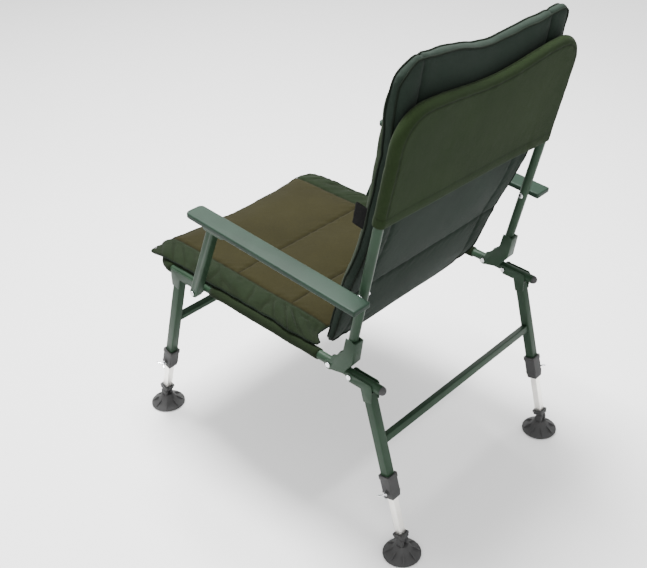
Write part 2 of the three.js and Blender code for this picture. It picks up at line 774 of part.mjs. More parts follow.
// The disc, its cone and radial ribs, and the two ears with the pin between them.
function makeMudFoot() {
  const ground = -FOOT_PIN_HEIGHT;
  const profile = [
    [0, 0],
    [FOOT_DIAMETER / 2 - FOOT_RIM / 2, 0],
    [FOOT_DIAMETER / 2, FOOT_RIM / 2],
    [FOOT_DIAMETER / 2, FOOT_RIM],
    [CONE_BASE_DIAMETER / 2, FOOT_SHOULDER],
    [CONE_TOP_DIAMETER / 2, CONE_HEIGHT],
    [0, CONE_HEIGHT],
  ].map(([radius, height]) => new THREE.Vector2(radius, height));
  const bell = new THREE.LatheGeometry(profile, FOOT_SIDES)
    .rotateX(Math.PI / 2)
    .translate(0, 0, ground);
  const earLow = TONGUE_WIDTH / 2 + FIT;
  const earHigh = earLow + EAR_WIDTH;
  const cheek = join(
    slab(disc(0, 0, EAR_RADIUS), earHigh),
    slab(rectangle(-EAR_RADIUS, EAR_RADIUS, CONE_HEIGHT + ground - FIT, 0), earHigh),
  );
  const slot = rectangle(
    -FOOT_DIAMETER,
    FOOT_DIAMETER,
    CONE_HEIGHT + ground,
    FOOT_PIN_HEIGHT,
  );
  const ribs = [];
  for (let i = 0; i < FOOT_RIBS; i += 1) {
    const turn = (i / FOOT_RIBS) * 360;
    const rib = polygon([
      [CONE_TOP_DIAMETER / 2 - FOOT_RIB_WIDTH, CONE_HEIGHT + ground - FOOT_RIB_HEIGHT],
      [CONE_TOP_DIAMETER / 2 - FOOT_RIB_WIDTH, ground + FOOT_RIM / 2],
      [FOOT_DIAMETER / 2 - FOOT_RIB_WIDTH, ground + FOOT_RIM / 2],
      [FOOT_DIAMETER / 2 - FOOT_RIB_WIDTH, ground + FOOT_RIM + FOOT_RIB_HEIGHT / 2],
      [CONE_BASE_DIAMETER / 2 + FOOT_RIB_HEIGHT, ground + FOOT_SHOULDER + FOOT_RIB_HEIGHT],
    ]);
    ribs.push(slab(rib, FOOT_RIB_WIDTH / 2).rotate([0, 0, turn]));
  }
  const foot = join(solid(bell), ...ribs);
  const ears = cut(cheek, slab(slot, earLow));
  return join(foot, ears, rod(PIN_DIAMETER / 2, -earLow - FIT, earLow + FIT));
}

function addLegs(end, word) {
  const layout = legLayout(end);
  const saddle = makeSaddle(layout);
  const leg = makeLeg(layout);
  const collar = makeCollar(layout);
  const screw = makeThumbScrew();
  const innerLeg = makeInnerLeg();
  const socket = makeFootSocket();
  const foot = makeMudFoot();
  const parts = new THREE.Group();
  parts.position.set(0, layout.pin.x, layout.pin.y);
  parts.rotation.x = layout.tilt;
  const saddles = new THREE.Group();
  saddles.position.copy(seatFrame.position);
  saddles.rotation.copy(seatFrame.rotation);
  const floor = new THREE.Group();
  floor.position.copy(parts.position);
  for (const [name, side] of SIDES) {
    const at = side * railX;
    const put = (group, mesh) => {
      mesh.position.x = at;
      group.add(mesh);
    };
    put(saddles, named(`${word}_saddle_${name}`, saddle, GREEN_PAINT));
    put(parts, named(`${word}_leg_${name}`, leg, GREEN_PAINT));
    put(parts, named(`${word}_collar_${name}`, flip(collar, side), BLACK_PLASTIC));
    put(parts, named(`${word}_inner_leg_${name}`, innerLeg, BARE_ALUMINIUM));
    put(parts, named(`${word}_foot_socket_${name}`, socket, BLACK_PLASTIC));
    put(floor, named(`${word}_mud_foot_${name}`, foot, BLACK_PLASTIC));
    const knob = named(`${word}_thumb_screw_${name}`, flip(screw, side), BRIGHT_STEEL);
    const screwAt = layout.collarBottom + SCREW_HEIGHT;
    knob.position.set(at + side * (COLLAR_SIZE / 2 + FIT), 0, screwAt);
    parts.add(knob);
  }
  const barHeight = end > 0 ? REAR_BAR_HEIGHT : FRONT_BAR_HEIGHT;
  const barShift = end > 0 ? 0 : (LEG_SIZE - CROSSBAR_SIZE) / 2;
  parts.add(named(`${word}_crossbar`, makeCrossbar(barHeight, barShift), GREEN_PAINT));
  return [parts, saddles, floor];
}

// Back frame, in its own leaning coordinates: x, across (rearwards), along (up the back).
const backFrame = new THREE.Group();
const hinge = station(BACK_BOLT_STATION);
backFrame.position.set(0, hinge.x, hinge.y);
backFrame.rotation.x = -lean;

const onBack = (x, up) => new THREE.Vector3(x, 0, up);
const backPath = (start) => fullU(railX, BACK_TUBE_TOP, BACK_CORNER, start, BACK_DIP, onBack);

function makeBackTube() {
  const tube = cut(
    sweep(backPath(BACK_TUBE_START), tubeRadius),
    sweep(backPath(BACK_TUBE_START - OVERRUN), tubeRadius - TUBE_WALL),
  ).translate([0, BACK_SET, 0]);
  const reach = railX + tubeRadius + OVERRUN;
  const hole = rod(boltRadius + FIT, -reach, reach, BACK_SET, ARM_PIVOT_ALONG);
  return tube.subtract(hole);
}

// Outline of the hinge bracket as shares of its depth across and its height along, from the bolt.
const BRACKET_TOE_SHARES = [[0.12, 0.3], [0.46, 0.54], [0.53, 0.6]];
const BRACKET_REAR_SHARES = [[1.02, 1.01], [1.08, 0.46]];
const BRACKET_HEEL_SHARE = [0.72, 0.055];

function makeBracket() {
  const spot = ([across, along]) => [across * BRACKET_DEPTH, along * BRACKET_TOP];
  const frontEdge = BACK_SET - tubeRadius - FIT;
  const rear = BRACKET_REAR_SHARES.map(spot);
  const toe = BRACKET_TOE_SHARES.map(spot);
  const heel = spot(BRACKET_HEEL_SHARE);
  const eye = BRACKET_EYE_RADIUS;
  const outline = [[0, eye], ...toe, [frontEdge, BRACKET_TOP], ...rear, heel, [0, -eye]];
  const plates = join(
    slab(polygon(outline.reverse()), bracketOuter),
    slab(disc(0, 0, eye), bracketOuter),
  );
  const webFace = BACK_SET + tubeRadius + FIT;
  const inward = [
    [frontEdge - 2 * eye, BRACKET_TOP + OVERRUN],
    [webFace, BRACKET_TOP + OVERRUN],
    [webFace, rear[1][1]],
    [heel[0] - BRACKET_WEB, heel[1]],
    [heel[0] - BRACKET_WEB, -eye - OVERRUN],
    [frontEdge - 2 * BRACKET_DEPTH, -eye - OVERRUN],
  ];
  const rail = new THREE.Shape(
    [
      [-BRACKET_DEPTH, -TUBE_DIAMETER],
      [2 * BRACKET_DEPTH, -TUBE_DIAMETER],
      [2 * BRACKET_DEPTH, tubeRadius + FIT],
      [-BRACKET_DEPTH, tubeRadius + FIT],
    ].map(([y, z]) => new THREE.Vector2(y, z).rotateAround(new THREE.Vector2(), lean - railAngle)),
  );
  return cut(
    plates,
    slab(polygon(inward.reverse()), bracketInner),
    slab(rail, bracketInner),
    rod(boltRadius + FIT, -bracketOuter - OVERRUN, bracketOuter + OVERRUN),
  );
}

// The hood is a cloth pocket pulled over the top of the back tube, open along its hem.
function makeHood() {
  const pocket = (grow, hem) => {
    const half = railX + tubeRadius + grow;
    const top = BACK_TUBE_TOP + tubeRadius + grow;
    const corner = BACK_CORNER + tubeRadius + grow;
    const run = half - corner;
    const shape = new THREE.Shape();
    shape.moveTo(-half, hem);
    shape.lineTo(half, hem);
    shape.lineTo(half, top - corner);
    shape.absarc(run, top - corner, corner, 0, Math.PI / 2, false);
    for (let i = 1; i <= DIP_STEPS; i += 1) {
      const share = 1 - (2 * i) / DIP_STEPS;
      const fall = (BACK_DIP / 2) * (1 + Math.cos(Math.PI * share));
      shape.lineTo(run * share, top - fall);
    }
    shape.absarc(-run, top - corner, corner, Math.PI / 2, Math.PI, false);
    const depth = 2 * (tubeRadius + grow);
    const round = tubeRadius / 2;
    return solid(
      new THREE.ExtrudeGeometry(shape, {
        depth: depth - 2 * round,
        bevelThickness: round,
        bevelSize: round,
        bevelOffset: -round,
        bevelSegments: 2,
        curveSegments: BEND_STEPS,
      })
        .translate(0, 0, round - depth / 2)
        .rotateX(Math.PI / 2),
    );
  };
  const round = tubeRadius / 2;
  const hemCut = solid(
    new THREE.BoxGeometry(2 * RAIL_SPREAD, 2 * TUBE_DIAMETER, 2 * OVERRUN + round).translate(
      0,
      0,
      HOOD_HEM - OVERRUN - round / 2,
    ),
  );
  return cut(
    pocket(FIT + HOOD_CLOTH, HOOD_HEM - round),
    pocket(FIT, HOOD_HEM - TUBE_DIAMETER),
    hemCut,
  ).translate([0, BACK_SET, 0]);
}

// The rear face of the back pad, as across and along from the back bolt.
const PAD_ACROSS_SHARES = [-0.97, -0.62, -0.37, -0.07, 0.38, 0.64, 0.66, 0.6, 0.42, 0.3];
const PAD_ALONG_SHARES = [-0.008, 0.058, 0.159, 0.278, 0.397, 0.5, 0.62, 0.76, 0.89, 1];
const PAD_DEPTH_SHARES = [0.45, 0.62, 0.84, 0.95, 1, 1, 1, 1, 0.98, 0.9];
const BACK_SEAM_SHARE = 0.235;

const padRear = new THREE.SplineCurve(
  PAD_ALONG_SHARES.map(
    (share, i) => new THREE.Vector2(PAD_ACROSS_SHARES[i] * BACK_SET, share * BACK_PAD_TOP),
  ),
);

const backPadHalf = railX + BACK_PAD_OVERHANG;

function makeBackPad() {
  const depths = new THREE.SplineCurve(
    PAD_DEPTH_SHARES.map((share, i) => new THREE.Vector2(i, share * BACK_PAD_DEPTH)),
  );
  const seamX = backPadHalf - BACK_BORDER;
  const sideSeams = [-seamX, seamX];
  const [across, along] = BACK_FACETS;
  return cushion(BACK_FACETS, (u, v, w) => {
    const pull = cornerPull(u, v);
    const share = snap((v * pull + 1) / 2, [BACK_SEAM_SHARE], 1 / along);
    const spot = padRear.getPoint(share);
    const slope = padRear.getTangent(share);
    const edge = Math.max(Math.abs(u), Math.abs(v)) ** EDGE_POWER;
    const inset = w === 0 ? 0 : BACK_PAD_ROUNDING * edge;
    const half = backPadHalf - BACK_PAD_TAPER * Math.max(0, 1 - 2 * share);
    const wide = u * pull * (half - inset - BACK_PAD_DRAW * (1 - v * v));
    const x = snap(wide, sideSeams, (2 * half) / across);
    const full = fullness(u, v);
    const sewn = Math.max(
      groove(x, sideSeams),
      groove(share * BACK_PAD_TOP, [BACK_SEAM_SHARE * BACK_PAD_TOP]),
    );
    const deepest = depths.getPoint(share).y;
    const rim = Math.min(BACK_PAD_EDGE, deepest / 2);
    const depth = rim + (deepest - rim) * full - sewn * full;
    const forward = ((w + 1) / 2) * depth;
    const dip = BACK_PAD_DIP * share ** 4 * (1 - u * u);
    const normal = new THREE.Vector2(-slope.y, slope.x);
    const drop = -v * inset - dip;
    return new THREE.Vector3(
      x,
      spot.x + normal.x * forward + slope.x * drop,
      spot.y + normal.y * forward + slope.y * drop,
    );
  });
}

// The tag's rear edge is sewn into the seam along the pad's front edge.
function makeTag() {
  const seam = backPadHalf - BACK_PAD_DRAW - BACK_PAD_ROUNDING;
  return plate(rectangle(-TAG_WIDTH, 0, 0, TAG_HEIGHT), seam, seam + TAG_THICKNESS);
}

backFrame.add(named("back_tube", makeBackTube(), GREEN_PAINT));
const bracket = makeBracket();
for (const [word, side] of SIDES) {
  const mesh = named(`hinge_bracket_${word}`, bracket, GREEN_PAINT);
  mesh.position.x = side * railX;
  backFrame.add(mesh);
}
backFrame.add(named("hood", makeHood(), GREEN_CLOTH));
backFrame.add(named("back_pad", makeBackPad(), GREY_CLOTH));
const tag = named("label_tag", makeTag(), BLACK_CLOTH);
const tagSpot = padRear.getPoint((TAG_ALONG + TAG_HEIGHT / 2) / BACK_PAD_TOP);
tag.position.set(0, tagSpot.x - BACK_PAD_EDGE - FIT, TAG_ALONG);
backFrame.add(tag);

// Armrests swing on the back tube; their posts swing on the front leg bolts. The four pivots
// of each side are the corners of a parallelogram, so an armrest keeps its slope as the back folds.
const armPivot = new THREE.Vector2(BACK_SET, ARM_PIVOT_ALONG)
  .rotateAround(new THREE.Vector2(), -lean)
  .add(hinge);
const postLow = station(-FRONT_BOLT_STATION);
const postHigh = armPivot.clone().add(postLow).sub(hinge);
const armInner = railX + postInner - FIT - ARM_BRACKET_SHEET;
const armBottom = ARM_LIFT - ARM_THICKNESS;

// The post's upper pivot as the armrest sees it.
const postInArm = postHigh.clone().sub(armPivot).rotateAround(new THREE.Vector2(), armSlope);

function makeArmrest() {
  const shape = new THREE.Shape();
  shape.moveTo(0, ARM_REAR);
  shape.lineTo(0, ARM_CORNER - ARM_FRONT);
  shape.absarc(ARM_CORNER, ARM_CORNER - ARM_FRONT, ARM_CORNER, Math.PI, 1.5 * Math.PI, false);
  shape.lineTo(ARM_WIDTH - ARM_CORNER, -ARM_FRONT);
  shape.absarc(ARM_WIDTH - ARM_CORNER, ARM_CORNER - ARM_FRONT, ARM_CORNER, -Math.PI / 2, 0, false);
  shape.lineTo(ARM_WIDTH, ARM_REAR);
  const body = new THREE.ExtrudeGeometry(shape, {
    depth: ARM_THICKNESS - 2 * ARM_EDGE,
    bevelThickness: ARM_EDGE,
    bevelSize: ARM_EDGE,
    bevelOffset: -ARM_EDGE,
    bevelSegments: 2,
    curveSegments: BEND_STEPS,
  }).translate(0, 0, armBottom + ARM_EDGE);
  const bore = rod(boltRadius + FIT, -OVERRUN, ARM_BOLT_DEPTH + FIT);
  return solid(body).subtract(bore);
}

// The channel under the armrest that holds the top of the post, with a window over its tip.
function makeArmBracket() {
  const inner = POST_SIZE / 2 + FIT;
  const outer = inner + ARM_BRACKET_SHEET;
  const front = postInArm.x - ARM_BRACKET_FRONT;
  const rear = postInArm.x + ARM_BRACKET_REAR;
  const top = armBottom - FIT;
  const low = postInArm.y - ARM_BRACKET_SKIRT;
  const side = new THREE.Shape();
  side.moveTo(front, top);
  side.lineTo(front, low + ARM_BRACKET_SKIRT / 2);
  side.quadraticCurveTo(front, low, front + ARM_BRACKET_SKIRT / 2, low);
  side.lineTo(rear - ARM_BRACKET_SKIRT, low);
  side.quadraticCurveTo(rear, low, rear, top - ARM_BRACKET_SKIRT / 2);
  side.lineTo(rear, top);
  const inside = rectangle(
    front - OVERRUN,
    rear + OVERRUN,
    low - OVERRUN,
    top - ARM_BRACKET_SHEET,
  );
  const window = rectangle(
    postInArm.x - ARM_BRACKET_WINDOW,
    postInArm.x + ARM_BRACKET_WINDOW,
    low,
    top + OVERRUN,
  );
  return cut(
    slab(side, outer),
    slab(inside, inner),
    slab(window, inner),
    rod(boltRadius + FIT, -outer - OVERRUN, outer + OVERRUN, postInArm.x, postInArm.y),
  );
}

function makePost() {
  const length = postHigh.distanceTo(postLow);
  const half = POST_SIZE / 2;
  const bottom = half - POST_FOOT;
  const top = length - POST_TIP_SHIFT;
  const outline = (radius) => {
    const shape = new THREE.Shape();
    shape.moveTo(radius, top);
    shape.absarc(0, top, radius, 0, Math.PI, false);
    shape.lineTo(-radius, bottom);
    shape.absarc(0, bottom, radius, Math.PI, 2 * Math.PI, false);
    return shape;
  };
  const tube = new THREE.ExtrudeGeometry(outline(half), {
    depth: POST_SIZE - 2 * POST_CORNER,
    bevelThickness: POST_CORNER,
    bevelSize: POST_CORNER,
    bevelOffset: -POST_CORNER,
    bevelSegments: 1,
    curveSegments: ROUND_STEPS,
  })
    .translate(0, 0, POST_CORNER - half)
    .applyMatrix4(SIDE_PLANE);
  const bore = slab(
    rectangle(POST_WALL - half, half - POST_WALL, bottom, top),
    half - POST_WALL,
  );
  const holes = [0, length].map((z) => rod(boltRadius + FIT, -POST_SIZE, POST_SIZE, 0, z));
  return cut(solid(tube), bore, ...holes);
}

function addArms() {
  const group = new THREE.Group();
  const armrest = makeArmrest();
  const armBracket = makeArmBracket();
  const post = makePost();
  const postTurn = Math.atan2(postLow.x - postHigh.x, postHigh.y - postLow.y);
  const topGrip = POST_SIZE + 2 * (FIT + ARM_BRACKET_SHEET + FIT);
  const topBolt = bolt(BOLT_HEAD_DIAMETER, topGrip);
  const pivotBolt = makeArmPivotBolt();
  for (const [word, side] of SIDES) {
    const arm = new THREE.Group();
    arm.position.set(0, armPivot.x, armPivot.y);
    arm.rotation.x = -armSlope;
    const rest = named(`armrest_${word}`, flip(armrest, side), ARM_PAINT);
    rest.position.x = side * armInner;
    const holder = named(`arm_bracket_${word}`, armBracket, GREEN_PAINT);
    holder.position.x = side * postX;
    const topPin = named(`post_top_bolt_${word}`, flip(topBolt, side), BRIGHT_STEEL);
    topPin.position.set(side * (postX + topGrip / 2), postInArm.x, postInArm.y);
    const pivotPin = named(`arm_pivot_bolt_${word}`, flip(pivotBolt, side), BRIGHT_STEEL);
    pivotPin.position.x = side * railX;
    arm.add(rest, holder, topPin, pivotPin);
    const upright = named(`arm_post_${word}`, post, GREEN_PAINT);
    upright.position.set(side * postX, postLow.x, postLow.y);
    upright.rotation.x = postTurn;
    group.add(arm, upright);
  }
  return group;
}

// The pivot bolt has its head on the inner side of the back tube and runs into the armrest.
function makeArmPivotBolt() {
  const faceIn = -(tubeRadius + FIT);
  const end = armInner - railX + ARM_BOLT_DEPTH;
  const washerHigh = armInner - railX - FIT;
  return join(
    rod(boltRadius, faceIn - BOLT_HEAD / 2, end),
    rod(BOLT_HEAD_DIAMETER / 2, faceIn - BOLT_HEAD, faceIn),
    rod(BOLT_HEAD_DIAMETER / 2, tubeRadius + FIT, washerHigh),
  );
}

const chair = new THREE.Group();
chair.add(seatFrame, ...addLegs(1, "rear"), ...addLegs(-1, "front"), backFrame, addArms());
chair.updateMatrixWorld(true);

export default chair;
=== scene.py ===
"""Looks of a folding carp fishing chair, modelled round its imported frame.

Everything is in metres and in the frame's own axes: +Z is up, -Y is the way a sitter faces and
+X is the sitter's left, the side nearest to the camera.
"""

import json
import logging
import math
from collections.abc import Callable, Sequence
from dataclasses import dataclass, field, replace
from enum import Enum
from typing import Any

import bpy
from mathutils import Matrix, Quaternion, Vector, noise
from mathutils.bvhtree import BVHTree

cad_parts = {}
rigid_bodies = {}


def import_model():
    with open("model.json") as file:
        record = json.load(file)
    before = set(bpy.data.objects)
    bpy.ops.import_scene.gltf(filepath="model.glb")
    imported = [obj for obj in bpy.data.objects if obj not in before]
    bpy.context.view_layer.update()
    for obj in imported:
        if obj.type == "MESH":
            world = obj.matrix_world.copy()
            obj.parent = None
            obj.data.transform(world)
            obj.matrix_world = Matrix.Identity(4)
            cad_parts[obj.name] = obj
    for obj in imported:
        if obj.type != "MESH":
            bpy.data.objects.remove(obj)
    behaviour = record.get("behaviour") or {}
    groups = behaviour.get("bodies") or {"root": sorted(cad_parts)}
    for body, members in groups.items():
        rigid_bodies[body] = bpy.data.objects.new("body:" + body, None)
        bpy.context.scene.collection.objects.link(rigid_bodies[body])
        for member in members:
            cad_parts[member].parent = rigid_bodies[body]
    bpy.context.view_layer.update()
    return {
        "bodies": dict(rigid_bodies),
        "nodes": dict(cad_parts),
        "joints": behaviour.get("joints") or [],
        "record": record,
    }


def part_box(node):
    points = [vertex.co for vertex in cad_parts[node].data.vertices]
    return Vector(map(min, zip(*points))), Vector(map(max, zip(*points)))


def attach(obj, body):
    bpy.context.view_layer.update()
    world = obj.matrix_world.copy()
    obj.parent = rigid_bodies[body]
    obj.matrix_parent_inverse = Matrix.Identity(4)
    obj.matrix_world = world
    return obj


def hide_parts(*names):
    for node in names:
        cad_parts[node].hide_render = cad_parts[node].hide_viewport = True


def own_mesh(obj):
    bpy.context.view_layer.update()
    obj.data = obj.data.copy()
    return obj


LOG = logging.getLogger("carp_chair")
MM = 0.001
Colour = tuple[float, float, float]
Shape = Callable[[float, float, float], Vector]


class Side(Enum):
    """The sitter's two sides, with the sign of X there."""

    LEFT = 1
    RIGHT = -1

    @property
    def word(self) -> str:
        """The side's name in the names of nodes."""
        return self.name.lower()


class Weave(Enum):
    """The two axes that a cloth's threads run along."""

    LEVEL = ("X", "Y")
    UPRIGHT = ("X", "Z")
    SIDEWAYS = ("Y", "Z")


class Wire:
    """A shader socket that takes part in arithmetic."""

    def __init__(self, shader: "Shader", socket: bpy.types.NodeSocket) -> None:
        """Wrap a socket.

        Args:
            shader: The shader that the socket belongs to.
            socket: An output socket of one of its nodes.
        """
        self.shader = shader
        self.socket = socket

    def _maths(self, operation: str, *values: "Wire | float") -> "Wire":
        """Add a Math node on the given values and return its result."""
        inputs = dict(enumerate(values))
        return self.shader.add("ShaderNodeMath", {"operation": operation}, inputs, "Value")

    def __add__(self, other: "Wire | float") -> "Wire":
        """Sum."""
        return self._maths("ADD", self, other)

    __radd__ = __add__

    def __sub__(self, other: "Wire | float") -> "Wire":
        """Difference."""
        return self._maths("SUBTRACT", self, other)

    def __rsub__(self, other: float) -> "Wire":
        """Difference from a number."""
        return self._maths("SUBTRACT", other, self)

    def __mul__(self, other: "Wire | float") -> "Wire":
        """Product."""
        return self._maths("MULTIPLY", self, other)

    __rmul__ = __mul__

    def __abs__(self) -> "Wire":
        """Distance from zero."""
        return self._maths("ABSOLUTE", self)

    def sine(self) -> "Wire":
        """Sine of an angle in radians."""
        return self._maths("SINE", self)

    def step(self, low: float, high: float) -> "Wire":
        """Rise smoothly from 0 at low to 1 at high.

        Args:
            low: Where the rise starts.
            high: Where it ends.

        Returns:
            The share that has been risen.
        """
        settings = {"interpolation_type": "SMOOTHSTEP"}
        inputs = {"Value": self, "From Min": low, "From Max": high}
        return self.shader.add("ShaderNodeMapRange", settings, inputs, "Result")


class Shader:
    """A material's nodes, written as expressions."""

    def __init__(self, name: str) -> None:
        """Make an empty material.

        Args:
            name: The material's name.
        """
        self.material = bpy.data.materials.new(name)
        self.material.use_nodes = True
        self.tree = self.material.node_tree
        self.surface = self.tree.nodes["Principled BSDF"]

    def add(self, kind: str, settings: dict[str, Any], inputs: dict[Any, Any], output: str) -> Wire:
        """Add any node.

        Args:
            kind: The node's type.
            settings: Its settings, which are made first.
            inputs: Values or wires of its sockets, by name or by number.
            output: The name of the socket that is returned.

        Returns:
            The wire from that socket.
        """
        node = self.tree.nodes.new(kind)
        for name, value in settings.items():
            setattr(node, name, value)
        for key, value in inputs.items():
            self.feed(node.inputs[key], value)
        return Wire(self, node.outputs[output])

    def feed(self, socket: bpy.types.NodeSocket, value: Any) -> None:
        """Set a socket to a number or colour, or link a wire to it.

        Args:
            socket: The socket to feed.
            value: A wire, a number or a tuple.
        """
        if isinstance(value, Wire):
            self.tree.links.new(value.socket, socket)
        else:
            socket.default_value = value

    def set(self, **values: Any) -> None:
        """Feed the surface's sockets, whose names are given with underscores for spaces."""
        for name, value in values.items():
            self.feed(self.surface.inputs[name.replace("_", " ")], value)

    def place(self) -> Wire:
        """Coordinates of the piece itself, which are those of the frame."""
        return self.add("ShaderNodeTexCoord", {}, {}, "Object")

    def axis(self, letter: str) -> Wire:
        """One coordinate.

        Args:
            letter: X, Y or Z.

        Returns:
            The coordinate in metres.
        """
        return self.add("ShaderNodeSeparateXYZ", {}, {"Vector": self.place()}, letter)

    def mark(self, name: str) -> Wire:
        """The value of a piece's own attribute of that name."""
        return self.add("ShaderNodeAttribute", {"attribute_name": name}, {}, "Fac")

    def cloud(self, scale: float, detail: float = 3.0, stretch: Colour = (1, 1, 1)) -> Wire:
        """Soft noise.

        Args:
            scale: Lumps to the metre.
            detail: How many finer layers lie on it.
            stretch: Scale along X, Y and Z.

        Returns:
            A value of 0 to 1.
        """
        place = self.add("ShaderNodeMapping", {}, {"Vector": self.place(), "Scale": stretch}, "Vector")
        inputs = {"Vector": place, "Scale": scale, "Detail": detail}
        return self.add("ShaderNodeTexNoise", {}, inputs, "Fac")

    def mix(self, share: Wire, first: Any, second: Any) -> Wire:
        """Blend two colours.

        Args:
            share: 0 gives the first and 1 the second.
            first: A colour or a wire.
            second: A colour or a wire.

        Returns:
            The blended colour.
        """
        node = self.tree.nodes.new("ShaderNodeMix")
        node.data_type = "RGBA"
        values = [share] + [v if isinstance(v, Wire) else (*v, 1.0) for v in (first, second)]
        for place, value in zip((0, 6, 7), values):
            self.feed(node.inputs[place], value)
        return Wire(self, node.outputs[2])

    def bump(self, height: Wire, strength: float, depth: float) -> None:
        """Roughen the surface.

        Args:
            height: The height, 0 to 1.
            strength: How much of it shows.
            depth: The height of 1, in metres.
        """
        inputs = {"Height": height, "Strength": strength, "Distance": depth}
        self.set(Normal=self.add("ShaderNodeBump", {}, inputs, "Normal"))


@dataclass(frozen=True)
class Finish:
    """A plain finish, and the ground that the others build on."""

    name: str
    slot: str
    colour: Colour
    roughness: float = 0.5

    def material(self) -> bpy.types.Material:
        """The finish's material, made once.

        Returns:
            The material.
        """
        made = bpy.data.materials.get(self.name)
        if made is None:
            shader = Shader(self.name)
            self.build(shader)
            made = shader.material
        return made

    def shade(self, share: float) -> Colour:
        """The finish's colour made lighter or darker.

        Args:
            share: 1 leaves it, less is darker.

        Returns:
            The new colour.
        """
        red, green, blue = self.colour
        return (red * share, green * share, blue * share)

    def build(self, shader: Shader) -> None:
        """Lay the finish on a material.

        Args:
            shader: The material's shader.
        """
        shader.set(Base_Color=(*self.colour, 1.0), Roughness=self.roughness)


@dataclass(frozen=True)
class Paint(Finish):
    """Powder coat or paint: fine orange peel, faint mottling and dust."""

    peel: float = 900.0
    coat: float = 0.0

    def build(self, shader: Shader) -> None:
        """Lay the finish on a material.

        Args:
            shader: The material's shader.
        """
        mottle = shader.cloud(14, 4)
        scuffs = shader.cloud(60, 6, (1, 1, 0.25)).step(0.62, 0.74)
        ground = shader.mix(mottle.step(0.3, 0.7), self.shade(0.86), self.shade(1.14))
        shader.set(
            Base_Color=shader.mix(scuffs * 0.25, ground, self.shade(1.5)),
            Roughness=self.roughness + (mottle - 0.5) * 0.12 + scuffs * 0.08,
            Coat_Weight=self.coat,
            Coat_Roughness=0.25,
            Specular_IOR_Level=0.12,
        )
        shader.bump(shader.cloud(self.peel, 2), 0.12, 0.3 * MM)


@dataclass(frozen=True)
class Plastic(Finish):
    """Moulded plastic with a fine grain and dusty wear."""

    grain: float = 1400.0

    def build(self, shader: Shader) -> None:
        """Lay the finish on a material.

        Args:
            shader: The material's shader.
        """
        dust = shader.cloud(25, 5).step(0.5, 0.8)
        shader.set(
            Base_Color=shader.mix(dust, self.colour, self.shade(2.2)),
            Roughness=self.roughness + dust * 0.15,
            Specular_IOR_Level=0.03,
        )
        shader.bump(shader.cloud(self.grain, 3), 0.05, 0.1 * MM)


@dataclass(frozen=True)
class Metal(Finish):
    """Bare or plated metal with drawn streaks along the piece."""

    streak: Colour = (1.0, 1.0, 0.05)

    def build(self, shader: Shader) -> None:
        """Lay the finish on a material.

        Args:
            shader: The material's shader.
        """
        streaks = shader.cloud(420, 4, self.streak)
        tarnish = shader.cloud(18, 4).step(0.45, 0.8)
        shader.set(
            Base_Color=shader.mix(tarnish * 0.5, self.colour, self.shade(0.7)),
            Metallic=1.0,
            Roughness=self.roughness + (streaks - 0.5) * 0.22 + tarnish * 0.1,
        )
        shader.bump(streaks, 0.1, 0.1 * MM)


@dataclass(frozen=True)
class Cloth(Finish):
    """Woven cloth with fading, faint creases and, where it is asked for, a second colour.

    The second colour lies where the piece's mark named panel is above 0.5.
    """

    weave: Weave = Weave.UPRIGHT
    second: Colour | None = None
    thread: float = 1.1 * MM
    crease: float = 22.0
    sheen: float = 0.02

    def build(self, shader: Shader) -> None:
        """Lay the finish on a material.

        Args:
            shader: The material's shader.
        """
        turn = math.pi / self.thread
        along, over = (shader.axis(letter) * turn for letter in self.weave.value)
        basket = along.sine() * over.sine() * 0.5 + 0.5
        lint = shader.cloud(260, 3)
        fading = shader.cloud(5, 4) * 0.55 + lint * 0.3 + basket * 0.15
        faded = fading.step(0.3, 0.7)
        base = shader.mix(faded, self.shade(0.78), self.shade(1.24))
        if self.second is not None:
            other = replace(self, colour=self.second)
            panel = shader.mark("panel").step(0.47, 0.53)
            base = shader.mix(panel, base, shader.mix(faded, other.shade(0.78), other.shade(1.24)))
        # The seam mark darkens the colour towards a quarter of it: along seams this is the dark seam line,
        # and in the seat's border creases it is painted shade.
        seam = shader.mark("seam")
        shader.set(
            Base_Color=shader.mix(seam * 0.75, base, self.shade(0.25)),
            Roughness=self.roughness + (lint - 0.5) * 0.1,
            Sheen_Weight=self.sheen,
            Sheen_Roughness=0.5,
            Specular_IOR_Level=0.05,
        )
        creases = shader.cloud(self.crease, 5, (1.0, 1.0, 0.6))
        shader.bump(basket * 0.08 + creases * 0.92, 0.6, 3.2 * MM)


